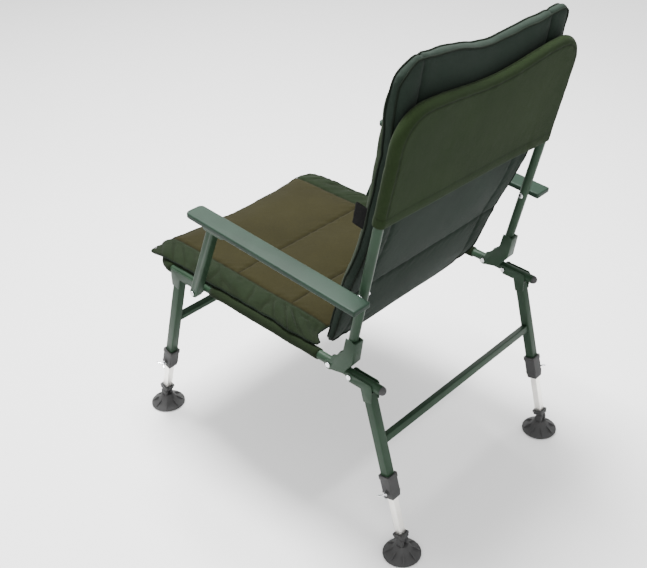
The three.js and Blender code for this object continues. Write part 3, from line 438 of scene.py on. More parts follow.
class Finishes(Enum):
    """Every finish of the chair."""

    FRAME = Paint("frame_paint", "frame_green", (0.0125, 0.0270, 0.0150), 0.44)
    ARMREST = Paint("armrest_paint", "armrest_green", (0.0082, 0.0190, 0.0120), 0.5, peel=500.0)
    PLASTIC = Plastic("black_plastic", "black_plastic", (0.0010, 0.0009, 0.0008), 0.5)
    ZINC = Metal("zinc_plate", "bright_steel", (0.62, 0.63, 0.64), 0.2)
    ALUMINIUM = Metal("drawn_aluminium", "bare_aluminium", (0.93, 0.91, 0.86), 0.36)
    SEAT = Cloth("seat_cloth", "olive_cloth", (0.0118, 0.0108, 0.0040), 0.95, Weave.LEVEL,
                 (0.0064, 0.0102, 0.0046))
    SLING = Cloth("sling_cloth", "green_cloth", (0.0068, 0.0112, 0.0046), 0.92, Weave.LEVEL)
    HOOD = Cloth("hood_cloth", "green_cloth", (0.0088, 0.0152, 0.0052), 0.9, Weave.UPRIGHT)
    BACK = Cloth("back_cloth", "grey_cloth", (0.0092, 0.0145, 0.0108), 0.85, Weave.UPRIGHT,
                 (0.0085, 0.0145, 0.0060))
    THREAD = Cloth("sewing_thread", "green_cloth", (0.020, 0.030, 0.013), 0.7, Weave.UPRIGHT)
    PIPING = Cloth("piping_cloth", "black_cloth", (0.0035, 0.006, 0.0035), 0.9, Weave.UPRIGHT)
    TAG = Cloth("tag_tape", "black_cloth", (0.003, 0.003, 0.003), 0.75, Weave.SIDEWAYS)

    def dress(self, piece: bpy.types.Object) -> None:
        """Give a piece this finish alone.

        Args:
            piece: A mesh object.
        """
        piece.data.materials.clear()
        piece.data.materials.append(self.value.material())


def pick(piece: bpy.types.Object) -> None:
    """Select one piece alone and make it active.

    Args:
        piece: The piece.
    """
    if bpy.context.object is not None and bpy.context.object.mode != "OBJECT":
        bpy.ops.object.mode_set(mode="OBJECT")
    bpy.ops.object.select_all(action="DESELECT")
    piece.select_set(True)
    bpy.context.view_layer.objects.active = piece


def bake_modifiers(piece: bpy.types.Object) -> None:
    """Apply all of a piece's modifiers.

    Args:
        piece: The piece.
    """
    pick(piece)
    for modifier in list(piece.modifiers):
        bpy.ops.object.modifier_apply(modifier=modifier.name)


def settle(piece: bpy.types.Object) -> None:
    """Put a piece's place, turn and scale into its mesh.

    Args:
        piece: The piece.
    """
    pick(piece)
    bpy.ops.object.transform_apply(location=True, rotation=True, scale=True)


def face_out(piece: bpy.types.Object) -> None:
    """Merge a piece's doubles and turn its faces outwards.

    Args:
        piece: A closed mesh.
    """
    pick(piece)
    bpy.ops.object.mode_set(mode="EDIT")
    bpy.ops.mesh.select_all(action="SELECT")
    bpy.ops.mesh.remove_doubles(threshold=0.01 * MM)
    bpy.ops.mesh.normals_make_consistent(inside=False)
    bpy.ops.object.mode_set(mode="OBJECT")


def bevel(piece: bpy.types.Object, width: float, segments: int = 2, degrees: float = 35.0) -> None:
    """Round a piece's sharp edges and shade it smooth.

    Args:
        piece: The piece.
        width: The bevel's width in metres.
        segments: Faces across the bevel.
        degrees: Edges sharper than this are rounded.
    """
    modifier = piece.modifiers.new("bevel", "BEVEL")
    modifier.width = width
    modifier.segments = segments
    modifier.limit_method = "ANGLE"
    modifier.angle_limit = math.radians(degrees)
    modifier.use_clamp_overlap = True
    bake_modifiers(piece)
    bpy.ops.object.shade_smooth_by_angle(angle=math.radians(degrees))


def mesh_piece(name: str, points: Sequence[Vector], faces: Sequence[Sequence[int]]) -> bpy.types.Object:
    """Make a piece from points and faces.

    Args:
        name: The piece's name.
        points: Its points in the frame.
        faces: Point numbers of each face.

    Returns:
        The new piece.
    """
    mesh = bpy.data.meshes.new(name)
    mesh.from_pydata([tuple(p) for p in points], [], [tuple(f) for f in faces])
    piece = bpy.data.objects.new(name, mesh)
    bpy.context.scene.collection.objects.link(piece)
    return piece


def swept(name: str, path: Sequence[Vector], radius: float, sides: int = 6,
          ring: bool = False) -> bpy.types.Object:
    """A round tube or cord along a path.

    Args:
        name: The piece's name.
        path: Points of its centre line.
        radius: Its radius.
        sides: A quarter of the facets round it, less one.
        ring: Whether the path closes on itself.

    Returns:
        A mesh, with closed ends where it isn't a ring.
    """
    curve = bpy.data.curves.new(name, "CURVE")
    curve.dimensions = "3D"
    curve.bevel_depth = radius
    curve.bevel_resolution = sides
    curve.use_fill_caps = not ring
    spline = curve.splines.new("POLY")
    spline.points.add(len(path) - 1)
    for point, place in zip(spline.points, path):
        point.co = (*place, 1.0)
    spline.use_cyclic_u = ring
    piece = bpy.data.objects.new(name, curve)
    bpy.context.scene.collection.objects.link(piece)
    pick(piece)
    bpy.ops.object.convert(target="MESH")
    piece = bpy.context.object
    bpy.ops.object.shade_smooth_by_angle(angle=math.radians(40))
    return piece


def stitches(name: str, path: Sequence[Vector], length: float = 3.2 * MM, gap: float = 1.6 * MM,
             radius: float = 0.35 * MM) -> bpy.types.Object:
    """A row of small stitches along a path, as one piece.

    Args:
        name: The piece's name.
        path: The line that is sewn.
        length: Length of a stitch.
        gap: Space to the next one.
        radius: Half of the thread's thickness.

    Returns:
        The row.
    """
    points: list[Vector] = []
    faces: list[list[int]] = []
    walked = 0.0
    for before, after in zip(path, path[1:]):
        step = (after - before).length
        forward = (after - before).normalized()
        side = forward.orthogonal().normalized()
        while walked < step:
            start, base = before + forward * walked, len(points)
            for share, wide in ((0.0, 0.3), (0.2, 1.0), (0.8, 1.0), (1.0, 0.3)):
                for k in range(5):
                    turn = Quaternion(forward, 2 * math.pi * k / 5)
                    points.append(start + forward * length * share + turn @ side * radius * wide)
            for ring in range(3):
                for k in range(5):
                    a, b = base + ring * 5 + k, base + ring * 5 + (k + 1) % 5
                    faces.append([a, b, b + 5, a + 5])
            faces.append([base + k for k in range(4, -1, -1)])
            faces.append([base + 15 + k for k in range(5)])
            walked += length + gap
        walked -= step
    piece = mesh_piece(name, points, faces)
    set_mark(piece, "seam", lambda place: 0.0)
    return piece


def give(piece: bpy.types.Object, finish: Finishes, body: str, *nodes: str) -> bpy.types.Object:
    """Dress a finished piece, let it ride on a body and stand for CAD nodes.

    Args:
        piece: The piece.
        finish: Its finish.
        body: The body that it moves with.
        nodes: The CAD nodes that it stands for.

    Returns:
        The same piece.
    """
    finish.dress(piece)
    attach(piece, body)
    if nodes:
        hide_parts(*nodes)
    LOG.info("%s: %d faces, rides on %s", piece.name, len(piece.data.polygons), body)
    return piece


def set_mark(piece: bpy.types.Object, name: str, value: Callable[[Vector], float]) -> None:
    """Store a value at each point of a piece for its finish to read.

    Args:
        piece: The piece.
        name: The mark's name.
        value: Gives the value at a point.
    """
    mark = piece.data.attributes.get(name) or piece.data.attributes.new(name, "FLOAT", "POINT")
    mark.data.foreach_set("value", [value(v.co) for v in piece.data.vertices])


def put_points(piece: bpy.types.Object, places: Sequence[Vector]) -> None:
    """Give every point of a piece its place at once.

    Args:
        piece: The piece.
        places: A place for each point, in order.
    """
    piece.data.vertices.foreach_set("co", [number for place in places for number in place])
    piece.data.update()


def move_points(piece: bpy.types.Object, shift: Callable[[Vector, Vector], Vector]) -> None:
    """Move each point of a piece.

    Args:
        piece: The piece.
        shift: Gives the shift of a point from its place and its normal.
    """
    spots = [(v.co.copy(), v.normal.copy()) for v in piece.data.vertices]
    put_points(piece, [place + shift(place, normal) for place, normal in spots])


def hill(distance: float, width: float) -> float:
    """A round hill of height 1.

    Args:
        distance: Distance from its middle line.
        width: Where its height has fallen to about a third.

    Returns:
        The height there.
    """
    return math.exp(-((distance / width) ** 2))


def smooth(value: float, low: float, high: float) -> float:
    """Rise smoothly from 0 at low to 1 at high."""
    share = min(1.0, max(0.0, (value - low) / (high - low)))
    return share * share * (3 - 2 * share)


def pillow(name: str, shape: Shape, counts: tuple[int, int, int]) -> bpy.types.Object:
    """A closed box of facets whose points lie where a shape puts them.

    Args:
        name: The piece's name.
        shape: Gives a place from three numbers of -1 to 1.
        counts: How many facets there are along each of the three.

    Returns:
        The new piece.
    """
    across, along, deep = counts
    numbers: dict[tuple[int, int, int], int] = {}
    points: list[Vector] = []
    faces: list[list[int]] = []

    def corner(i: int, j: int, k: int) -> int:
        """The number of a lattice point, made when it is first asked for.

        Args:
            i: Its place across.
            j: Its place along.
            k: Its place in depth.

        Returns:
            The point's number.
        """
        if (i, j, k) not in numbers:
            numbers[(i, j, k)] = len(points)
            points.append(shape(2 * i / across - 1, 2 * j / along - 1, 2 * k / deep - 1))
        return numbers[(i, j, k)]

    for i in range(across):
        for j in range(along):
            for k in (0, deep):
                faces.append([corner(i, j, k), corner(i + 1, j, k),
                              corner(i + 1, j + 1, k), corner(i, j + 1, k)])
        for k in range(deep):
            for j in (0, along):
                faces.append([corner(i, j, k), corner(i + 1, j, k),
                              corner(i + 1, j, k + 1), corner(i, j, k + 1)])
    for j in range(along):
        for k in range(deep):
            for i in (0, across):
                faces.append([corner(i, j, k), corner(i, j + 1, k),
                              corner(i, j + 1, k + 1), corner(i, j, k + 1)])
    piece = mesh_piece(name, points, faces)
    face_out(piece)
    return piece


def rim(steps: int = 60) -> list[tuple[float, float]]:
    """Places once round the edge of a square from -1 to 1.

    Args:
        steps: How many places lie along each side.

    Returns:
        The places.
    """
    run = [i / steps * 2 - 1 for i in range(steps)]
    first, second = [(s, -1.0) for s in run], [(1.0, s) for s in run]
    return first + second + [(-s, 1.0) for s in run] + [(-1.0, -s) for s in run]


@dataclass
class Stuffing:
    """Blows a padded piece up with a short cloth simulation."""

    voxel: float = 5.5 * MM
    pressure: float = 4.0
    frames: int = 20
    cap: float = 7.0 * MM

    def fill(self, piece: bpy.types.Object, held: Callable[[Vector], float]) -> None:
        """Remesh a piece evenly, fill it, and smooth it.

        Args:
            piece: The piece, a little smaller than it is to be.
            held: How firmly a point is held, 0 to 1, as at a seam.
        """
        pick(piece)
        piece.data.remesh_voxel_size = self.voxel
        bpy.ops.object.voxel_remesh()
        self.blow(piece, held)
        piece.modifiers.new("relax", "SMOOTH").iterations = 2
        levels = piece.modifiers.new("fine", "SUBSURF")
        levels.levels = levels.render_levels = 1
        bake_modifiers(piece)
        bpy.ops.object.shade_smooth()

    def blow(self, piece: bpy.types.Object, held: Callable[[Vector], float]) -> None:
        """Run the cloth and keep its shape.

        Args:
            piece: The remeshed piece.
            held: How firmly a point is held.
        """
        rest = [v.co.copy() for v in piece.data.vertices]
        group = piece.vertex_groups.new(name="sewn")
        for i, place in enumerate(rest):
            group.add([i], held(place), "REPLACE")
        cloth = piece.modifiers.new("cloth", "CLOTH")
        cloth.settings.vertex_group_mass = "sewn"
        cloth.settings.use_pressure = True
        cloth.settings.uniform_pressure_force = self.pressure
        cloth.settings.effector_weights.gravity = 0
        cloth.settings.quality = 4
        scene = bpy.context.scene
        for frame in range(1, self.frames + 1):
            scene.frame_set(frame)
        shaped = piece.evaluated_get(bpy.context.evaluated_depsgraph_get())
        moved = [v.co.copy() for v in shaped.data.vertices]
        piece.modifiers.remove(cloth)
        scene.frame_set(1)
        places = []
        for old, new in zip(rest, moved):
            shift = new - old
            places.append(old + shift * min(1.0, self.cap / max(shift.length, 1e-9)))
        put_points(piece, places)
        piece.vertex_groups.clear()


@dataclass
class Layout:
    """The chair's main places, in the frame's axes."""

    tube: float = 9.5 * MM
    rail_height: float = 408 * MM
    rail_drop: float = math.radians(2.7)
    lean: float = math.radians(12.8)
    hinge_station: float = 186 * MM
    back_set: float = 36.7 * MM
    rail_x: float = field(init=False)

    def __post_init__(self) -> None:
        """Read the rails' spread from the frame."""
        self.rail_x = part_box("seat_tube")[1].x - self.tube

    def on_rail(self, x: float, station: float, height: float) -> Vector:
        """A place given along the rails.

        Args:
            x: Across the chair.
            station: Along the rails from the chair's middle, rearwards positive.
            height: Above the rails' centre lines.

        Returns:
            The place in the frame.
        """
        c, s = math.cos(self.rail_drop), math.sin(self.rail_drop)
        return Vector((x, station * c + height * s, self.rail_height - station * s + height * c))

    def rail_place(self, place: Vector) -> tuple[float, float, float]:
        """The reverse of on_rail.

        Args:
            place: A place in the frame.

        Returns:
            Its x, station and height.
        """
        c, s = math.cos(self.rail_drop), math.sin(self.rail_drop)
        y, z = place.y, place.z - self.rail_height
        return place.x, y * c - z * s, y * s + z * c

    @property
    def hinge(self) -> Vector:
        """The back's hinge in the chair's middle plane."""
        return self.on_rail(0, self.hinge_station, 0)

    def on_back(self, x: float, across: float, along: float) -> Vector:
        """A place given on the leaning back.

        Args:
            x: Across the chair.
            across: Rearwards, square to the back, from the hinge.
            along: Up the back from the hinge.

        Returns:
            The place in the frame.
        """
        c, s = math.cos(self.lean), math.sin(self.lean)
        return self.hinge + Vector((x, across * c + along * s, along * c - across * s))

    def back_place(self, place: Vector) -> tuple[float, float, float]:
        """The reverse of on_back.

        Args:
            place: A place in the frame.

        Returns:
            Its x, across and along.
        """
        c, s = math.cos(self.lean), math.sin(self.lean)
        offset = place - self.hinge
        return offset.x, offset.y * c - offset.z * s, offset.y * s + offset.z * c


@dataclass
class BentTubes:
    """The two round tubes of the frame, redrawn with smooth bends."""

    layout: Layout
    rail_front: float = 337 * MM
    rail_rear: float = 311 * MM
    rail_corner: float = 55 * MM
    back_start: float = 47 * MM
    back_top: float = 571 * MM
    back_corner: float = 55 * MM
    back_dip: float = 14 * MM
    turn_steps: int = 12

    def half(self, reach: float, corner: float, start: float, dip: float) -> list[tuple[float, float]]:
        """Half of a U, from its open end at +X to the middle of its crosspiece.

        Args:
            reach: How far out the crosspiece lies.
            corner: Radius of the bend.
            start: Where the open end lies.
            dip: How far the crosspiece's middle falls back.

        Returns:
            Points as x and distance forward.
        """
        wide = self.layout.rail_x
        points = [(wide, start)]
        for i in range(self.turn_steps + 1):
            turn = i / self.turn_steps * math.pi / 2
            points.append((wide - corner + corner * math.cos(turn),
                           reach - corner + corner * math.sin(turn)))
        run = wide - corner
        for i in range(1, self.turn_steps + 1):
            share = i / self.turn_steps
            points.append((run * (1 - share), reach - dip / 2 * (1 - math.cos(math.pi * share))))
        return points

    def path(self, half: Sequence[tuple[float, float]],
             place: Callable[[float, float], Vector]) -> list[Vector]:
        """The whole U in the frame.

        Args:
            half: Its half, ending in the middle.
            place: Puts x and forward in the frame.

        Returns:
            Its points from +X to -X.
        """
        right = [place(-x, forward) for x, forward in reversed(half[:-1])]
        return [place(x, forward) for x, forward in half] + right

    def build(self) -> None:
        """Make both tubes."""
        at = self.layout
        rails = self.half(self.rail_front, self.rail_corner, -self.rail_rear, 0)
        seat = swept("seat_rails", self.path(rails, lambda x, f: at.on_rail(x, -f, 0)), at.tube, 7)
        give(seat, Finishes.FRAME, "seat_frame", "seat_tube")
        uprights = self.half(self.back_top, self.back_corner, self.back_start, self.back_dip)
        upright_path = self.path(uprights, lambda x, f: at.on_back(x, at.back_set, f))
        back = swept("back_uprights", upright_path, at.tube, 7)
        give(back, Finishes.FRAME, "back_frame", "back_tube")


@dataclass
class Ironwork:
    """The frame's pressed, moulded and square pieces, with rounded edges."""

    bodies: dict[str, list[str]]
    edge: float = 0.5 * MM

    def finish_of(self, node: str) -> tuple[Finishes, float] | None:
        """The finish and edge of a node.

        Args:
            node: The node's name.

        Returns:
            Both, or None where another class makes the piece.
        """
        rows = (
            ("inner_leg", Finishes.ALUMINIUM, 0.3 * MM),
            ("thumb_screw", Finishes.ZINC, 0.3 * MM),
            ("collar", Finishes.PLASTIC, 0.8 * MM),
            ("foot", Finishes.PLASTIC, 0.7 * MM),
            ("plug", Finishes.PLASTIC, 0.4 * MM),
            ("saddle", Finishes.FRAME, self.edge),
            ("crossbar", Finishes.FRAME, 0.3 * MM),
            ("bracket", Finishes.FRAME, self.edge),
            ("post_left", Finishes.FRAME, self.edge),
            ("post_right", Finishes.FRAME, self.edge),
            ("_leg_", Finishes.FRAME, 0.3 * MM),
        )
        if "bolt" in node:
            return None
        return next(((finish, edge) for word, finish, edge in rows if word in node), None)

    def build(self, nodes: dict[str, bpy.types.Object]) -> None:
        """Copy each node, merge its triangles and round its edges.

        Args:
            nodes: The CAD nodes by name.
        """
        for body, members in self.bodies.items():
            for node in members:
                found = self.finish_of(node)
                if found is None:
                    continue
                finish, edge = found
                piece = bpy.data.objects.new(f"{node}_piece", nodes[node].data.copy())
                bpy.context.scene.collection.objects.link(piece)
                pick(piece)
                bpy.ops.object.mode_set(mode="EDIT")
                bpy.ops.mesh.select_all(action="SELECT")
                bpy.ops.mesh.remove_doubles(threshold=0.02 * MM)
                bpy.ops.mesh.dissolve_limited(angle_limit=math.radians(1))
                bpy.ops.object.mode_set(mode="OBJECT")
                bevel(piece, edge)
                give(piece, finish, body, node)


@dataclass
class Fastener:
    """A bolt along X with a domed head, and its nut where it has one."""

    shank: float = 3.0 * MM
    head: float = 5.6 * MM
    dome: float = 3.0 * MM
    nut: float = 5.6 * MM
    nut_height: float = 4.0 * MM
    thread_end: float = 1.5 * MM
    washer_gap: float = 0.3 * MM

    def drum(self, radius: float, low: float, high: float, centre: Vector, sides: int) -> bpy.types.Object:
        """A drum along X.

        Args:
            radius: Its radius.
            low: X of its lower end.
            high: X of its upper end.
            centre: A point on its axis.
            sides: How many flat sides it has.

        Returns:
            The drum.
        """
        place = Vector(((low + high) / 2, centre.y, centre.z))
        bpy.ops.object.select_all(action="DESELECT")
        bpy.ops.mesh.primitive_cylinder_add(
            vertices=sides, radius=radius, depth=high - low, location=place, rotation=(0, math.pi / 2, 0)
        )
        return bpy.context.object

    def build(self, node: str, body: str, side: Side, washer: tuple[float, float] | None = None) -> None:
        """Make one bolt where a CAD bolt is.

        Args:
            node: The CAD bolt.
            body: The body that it rides on.
            side: The side that it is on.
            washer: The washer's two distances from the chair's middle, or None.
        """
        low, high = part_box(node)
        centre = (low + high) / 2
        sign = side.value
        outer, inner = (high.x, low.x) if sign > 0 else (low.x, high.x)
        parts = []
        if "arm_pivot" in node:
            tip, top = outer, inner
            sign = -sign
        else:
            tip, top = inner, outer
        ends = sorted((tip, top - sign * self.dome / 2))
        parts.append(self.drum(self.shank, *ends, centre, 20))
        head = self.drum(self.head, *sorted((top, top - sign * self.dome)), centre, 28)
        bevel(head, 1.6 * MM, 4)
        parts.append(head)
        if "arm_pivot" not in node:
            start = tip + sign * self.thread_end
            nut = self.drum(self.nut, *sorted((start, start + sign * self.nut_height)), centre, 6)
            bevel(nut, 0.5 * MM)
            parts.append(nut)
        if washer is not None:
            ring = self.drum(self.head, *sorted(side.value * x for x in washer), centre, 28)
            bevel(ring, 0.4 * MM)
            parts.append(ring)
        bpy.ops.object.select_all(action="DESELECT")
        for part in parts:
            part.select_set(True)
        bpy.context.view_layer.objects.active = parts[0]
        bpy.ops.object.join()
        piece = bpy.context.object
        piece.name = f"{node}_piece"
        settle(piece)
        bpy.ops.object.shade_smooth_by_angle(angle=math.radians(35))
        give(piece, Finishes.ZINC, body, node)

    def build_all(self) -> None:
        """Make every bolt of the chair."""
        for side in Side:
            armrest_inner = min(abs(c.x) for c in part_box(f"armrest_{side.word}"))
            post_inner = min(abs(c.x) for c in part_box(f"arm_post_{side.word}"))
            tube = abs(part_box("back_tube")[1].x)
            saddle = max(abs(c.x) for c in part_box(f"front_saddle_{side.word}"))
            gap = self.washer_gap
            rows = (
                ("back_hinge_bolt", "seat_frame", None),
                ("rear_leg_bolt", "seat_frame", None),
                ("front_leg_bolt", "seat_frame", (saddle + gap, post_inner - gap)),
                ("post_top_bolt", f"armrest_{side.word}", None),
                ("arm_pivot_bolt", f"armrest_{side.word}", (tube + gap, armrest_inner - gap)),
            )
            for word, body, washer in rows:
                self.build(f"{word}_{side.word}", body, side, washer)


@dataclass
class SeatCushion:
    """The quilted pad: an olive middle in green borders, with sewn cross seams."""

    layout: Layout
    half: float = 258 * MM
    front: float = 366 * MM
    rear: float = 120 * MM
    flap: float = 27 * MM
    bow: float = 26 * MM
    floor: float = 13.0 * MM
    rim: float = 7 * MM
    crown: float = 13 * MM
    cross_seams: tuple[float, float] = (-142 * MM, 17 * MM)
    side_seam: float = 196 * MM
    corner_power: float = 40
    ear: float = 9 * MM

    def shape(self, u: float, v: float, w: float) -> Vector:
        """The pad before it is filled.

        Args:
            u: Across the pad, -1 to 1.
            v: Along it, -1 at the front and 1 at the rear.
            w: Through it, -1 at the bottom and 1 at the top.

        Returns:
            The place in the frame.
        """
        spread = (abs(u) ** self.corner_power + abs(v) ** self.corner_power) ** (1 / self.corner_power)
        pull = max(abs(u), abs(v)) / spread if spread else 1.0
        middle, reach = (self.rear - self.front) / 2, (self.rear + self.front) / 2
        edge = max(abs(u), abs(v)) ** 6
        inset = 4 * MM * edge * abs(w) ** 2
        x = u * pull * (self.half - inset - 3 * MM * (1 - v * v))
        station = middle + v * pull * (reach - inset) + self.bow * (1 - u * u) * max(0.0, -v) ** 5
        station += self.flap * smooth(abs(x), 226 * MM, 244 * MM) * max(0.0, v) ** 5
        full = math.sqrt(max(0.0, (1 - abs(u) ** 6) * (1 - abs(v) ** 6)))
        height = self.floor + (w + 1) / 2 * (self.rim + (self.crown - self.rim) * full)
        return self.layout.on_rail(x, station, height)

    def seam_distance(self, x: float, station: float) -> float:
        """Distance of a place on the pad from its nearest seam.

        Args:
            x: Across the chair.
            station: Along the rails.

        Returns:
            The distance.
        """
        near = [abs(abs(x) - self.side_seam)]
        if abs(x) < self.side_seam:
            near += [abs(station - seam) for seam in self.cross_seams]
        return min(near)

    def held(self, place: Vector) -> float:
        """How firmly the filling leaves a place: fast at the seams and where the pad lies on the sling.

        Args:
            place: A place in the frame.

        Returns:
            1 where it is held fast, down to 0 where it is free.
        """
        x, station, height = self.layout.rail_place(place)
        if height < self.floor + 3 * MM:
            return 1.0
        return hill(self.seam_distance(x, station), 5 * MM)

    def crease(self, x: float, station: float) -> float:
        """How deep a place lies in a crease of the side borders, 0 to 1."""
        run = Vector((abs(x) * 16, station * 26 - abs(x) * 30, 7.0 + math.copysign(3.0, x)))
        return max(0.0, 1 - 5 * abs(noise.noise(run)))

    def wrinkle(self, place: Vector, normal: Vector) -> Vector:
        """Seams with their puckers, creased borders and drooping front corners.

        Args:
            place: A place on the filled pad.
            normal: The surface normal there.

        Returns:
            How far the place moves.
        """
        x, station, height = self.layout.rail_place(place)
        if height < self.floor + 2 * MM:
            lift = 0.0
        else:
            distance = self.seam_distance(x, station)
            along = x + station
            pucker = noise.noise(Vector((along * 70, distance * 40, 0.0)))
            lift = -2.6 * MM * hill(distance, 4 * MM) + 1.3 * MM * pucker * hill(distance, 16 * MM)
            lift += 2.2 * MM * noise.noise(Vector((x * 9, station * 9, 1.7)))
            border = smooth(abs(x), self.side_seam, self.side_seam + 26 * MM)
            fold = noise.noise(Vector((abs(x) * 14, station * 30 - abs(x) * 22, 4.0 + x)))
            strength = 0.6 + 0.8 * smooth(station, -50 * MM, 90 * MM)
            strength *= 1 - 0.6 * smooth(abs(x), self.half - 18 * MM, self.half)
            strength *= 1 - 0.9 * smooth(station, self.rear - 22 * MM, self.rear + 8 * MM)
            lift += border * strength * (8.0 * MM * fold - 5.0 * MM * self.crease(x, station))
        corner = smooth(abs(x), 0.2, self.half) * smooth(-station, 0.3, self.front)
        return normal * lift - Vector((0, 0, self.ear * corner))

    def rim_path(self, height: float, grow: float) -> list[Vector]:
        """Points round the pad's edge.

        Args:
            height: -1 at its bottom edge and 1 at its top edge.
            grow: How far outside the unfilled pad they lie.

        Returns:
            The points, once round.
        """
        middle = self.shape(0, 0, 0)
        points = []
        for u, v in rim():
            place = self.shape(u, v, height)
            out = (place - middle).normalized()
            points.append(place + out * grow)
        return points

    def build(self) -> bpy.types.Object:
        """Make the pad and its piping.

        Returns:
            The pad.
        """
        piece = pillow("seat_cushion", self.shape, (60, 56, 3))
        Stuffing(cap=6 * MM).fill(piece, self.held)
        move_points(piece, self.wrinkle)

        def panel(place: Vector) -> float:
            """Above a half on the green borders.

            Args:
                place: A place in the frame.

            Returns:
                The mark there.
            """
            x, _, _ = self.layout.rail_place(place)
            return min(1.0, max(0.0, 0.5 + (abs(x) - self.side_seam) / (40 * MM)))

        def seam(place: Vector) -> float:
            """Near 1 in the seams, and up to 0.4 as painted shade in the border creases.

            Args:
                place: A place in the frame.

            Returns:
                The mark there.
            """
            x, station, _ = self.layout.rail_place(place)
            border = smooth(abs(x), self.side_seam, self.side_seam + 20 * MM)
            # Painted shade: the mark rises in the valleys of the border creases so that the cloth is darker
            # there.
            creased = 0.4 * border * self.crease(x, station) ** 2
            return max(hill(self.seam_distance(x, station), 1.6 * MM), creased)

        set_mark(piece, "panel", panel)
        # The seam mark holds the dark seam lines and the painted crease shade.
        set_mark(piece, "seam", seam)
        give(piece, Finishes.SEAT, "seat_frame", "seat_pad")
        self.flatten(piece)
        self.pipe(piece)
        return piece

    def flatten(self, piece: bpy.types.Object) -> None:
        """Give a piece its own copy of its mesh.

        Args:
            piece: The pad or its piping.
        """
        up = self.layout.on_rail(0, 0, 1) - self.layout.on_rail(0, 0, 0)
        anchor = self.layout.on_rail(0, 0, self.floor)
        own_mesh(piece)

    def pipe(self, cushion: bpy.types.Object) -> None:
        """Sew a thin piping round the pad's edge, on the filled surface.

        Args:
            cushion: The filled pad.
        """
        tree = BVHTree.FromObject(cushion, bpy.context.evaluated_depsgraph_get())
        path = []
        for place in self.rim_path(0.2, 2 * MM):
            dropped = place + self.wrinkle(place, Vector((0, 0, 0)))
            near, normal, _, _ = tree.find_nearest(dropped)
            path.append(near + normal * 0.8 * MM)
        piping = swept("seat_piping", path, 1.5 * MM, 2, ring=True)
        set_mark(piping, "seam", lambda place: 0.0)
        give(piping, Finishes.PIPING, "seat_frame")
        self.flatten(piping)


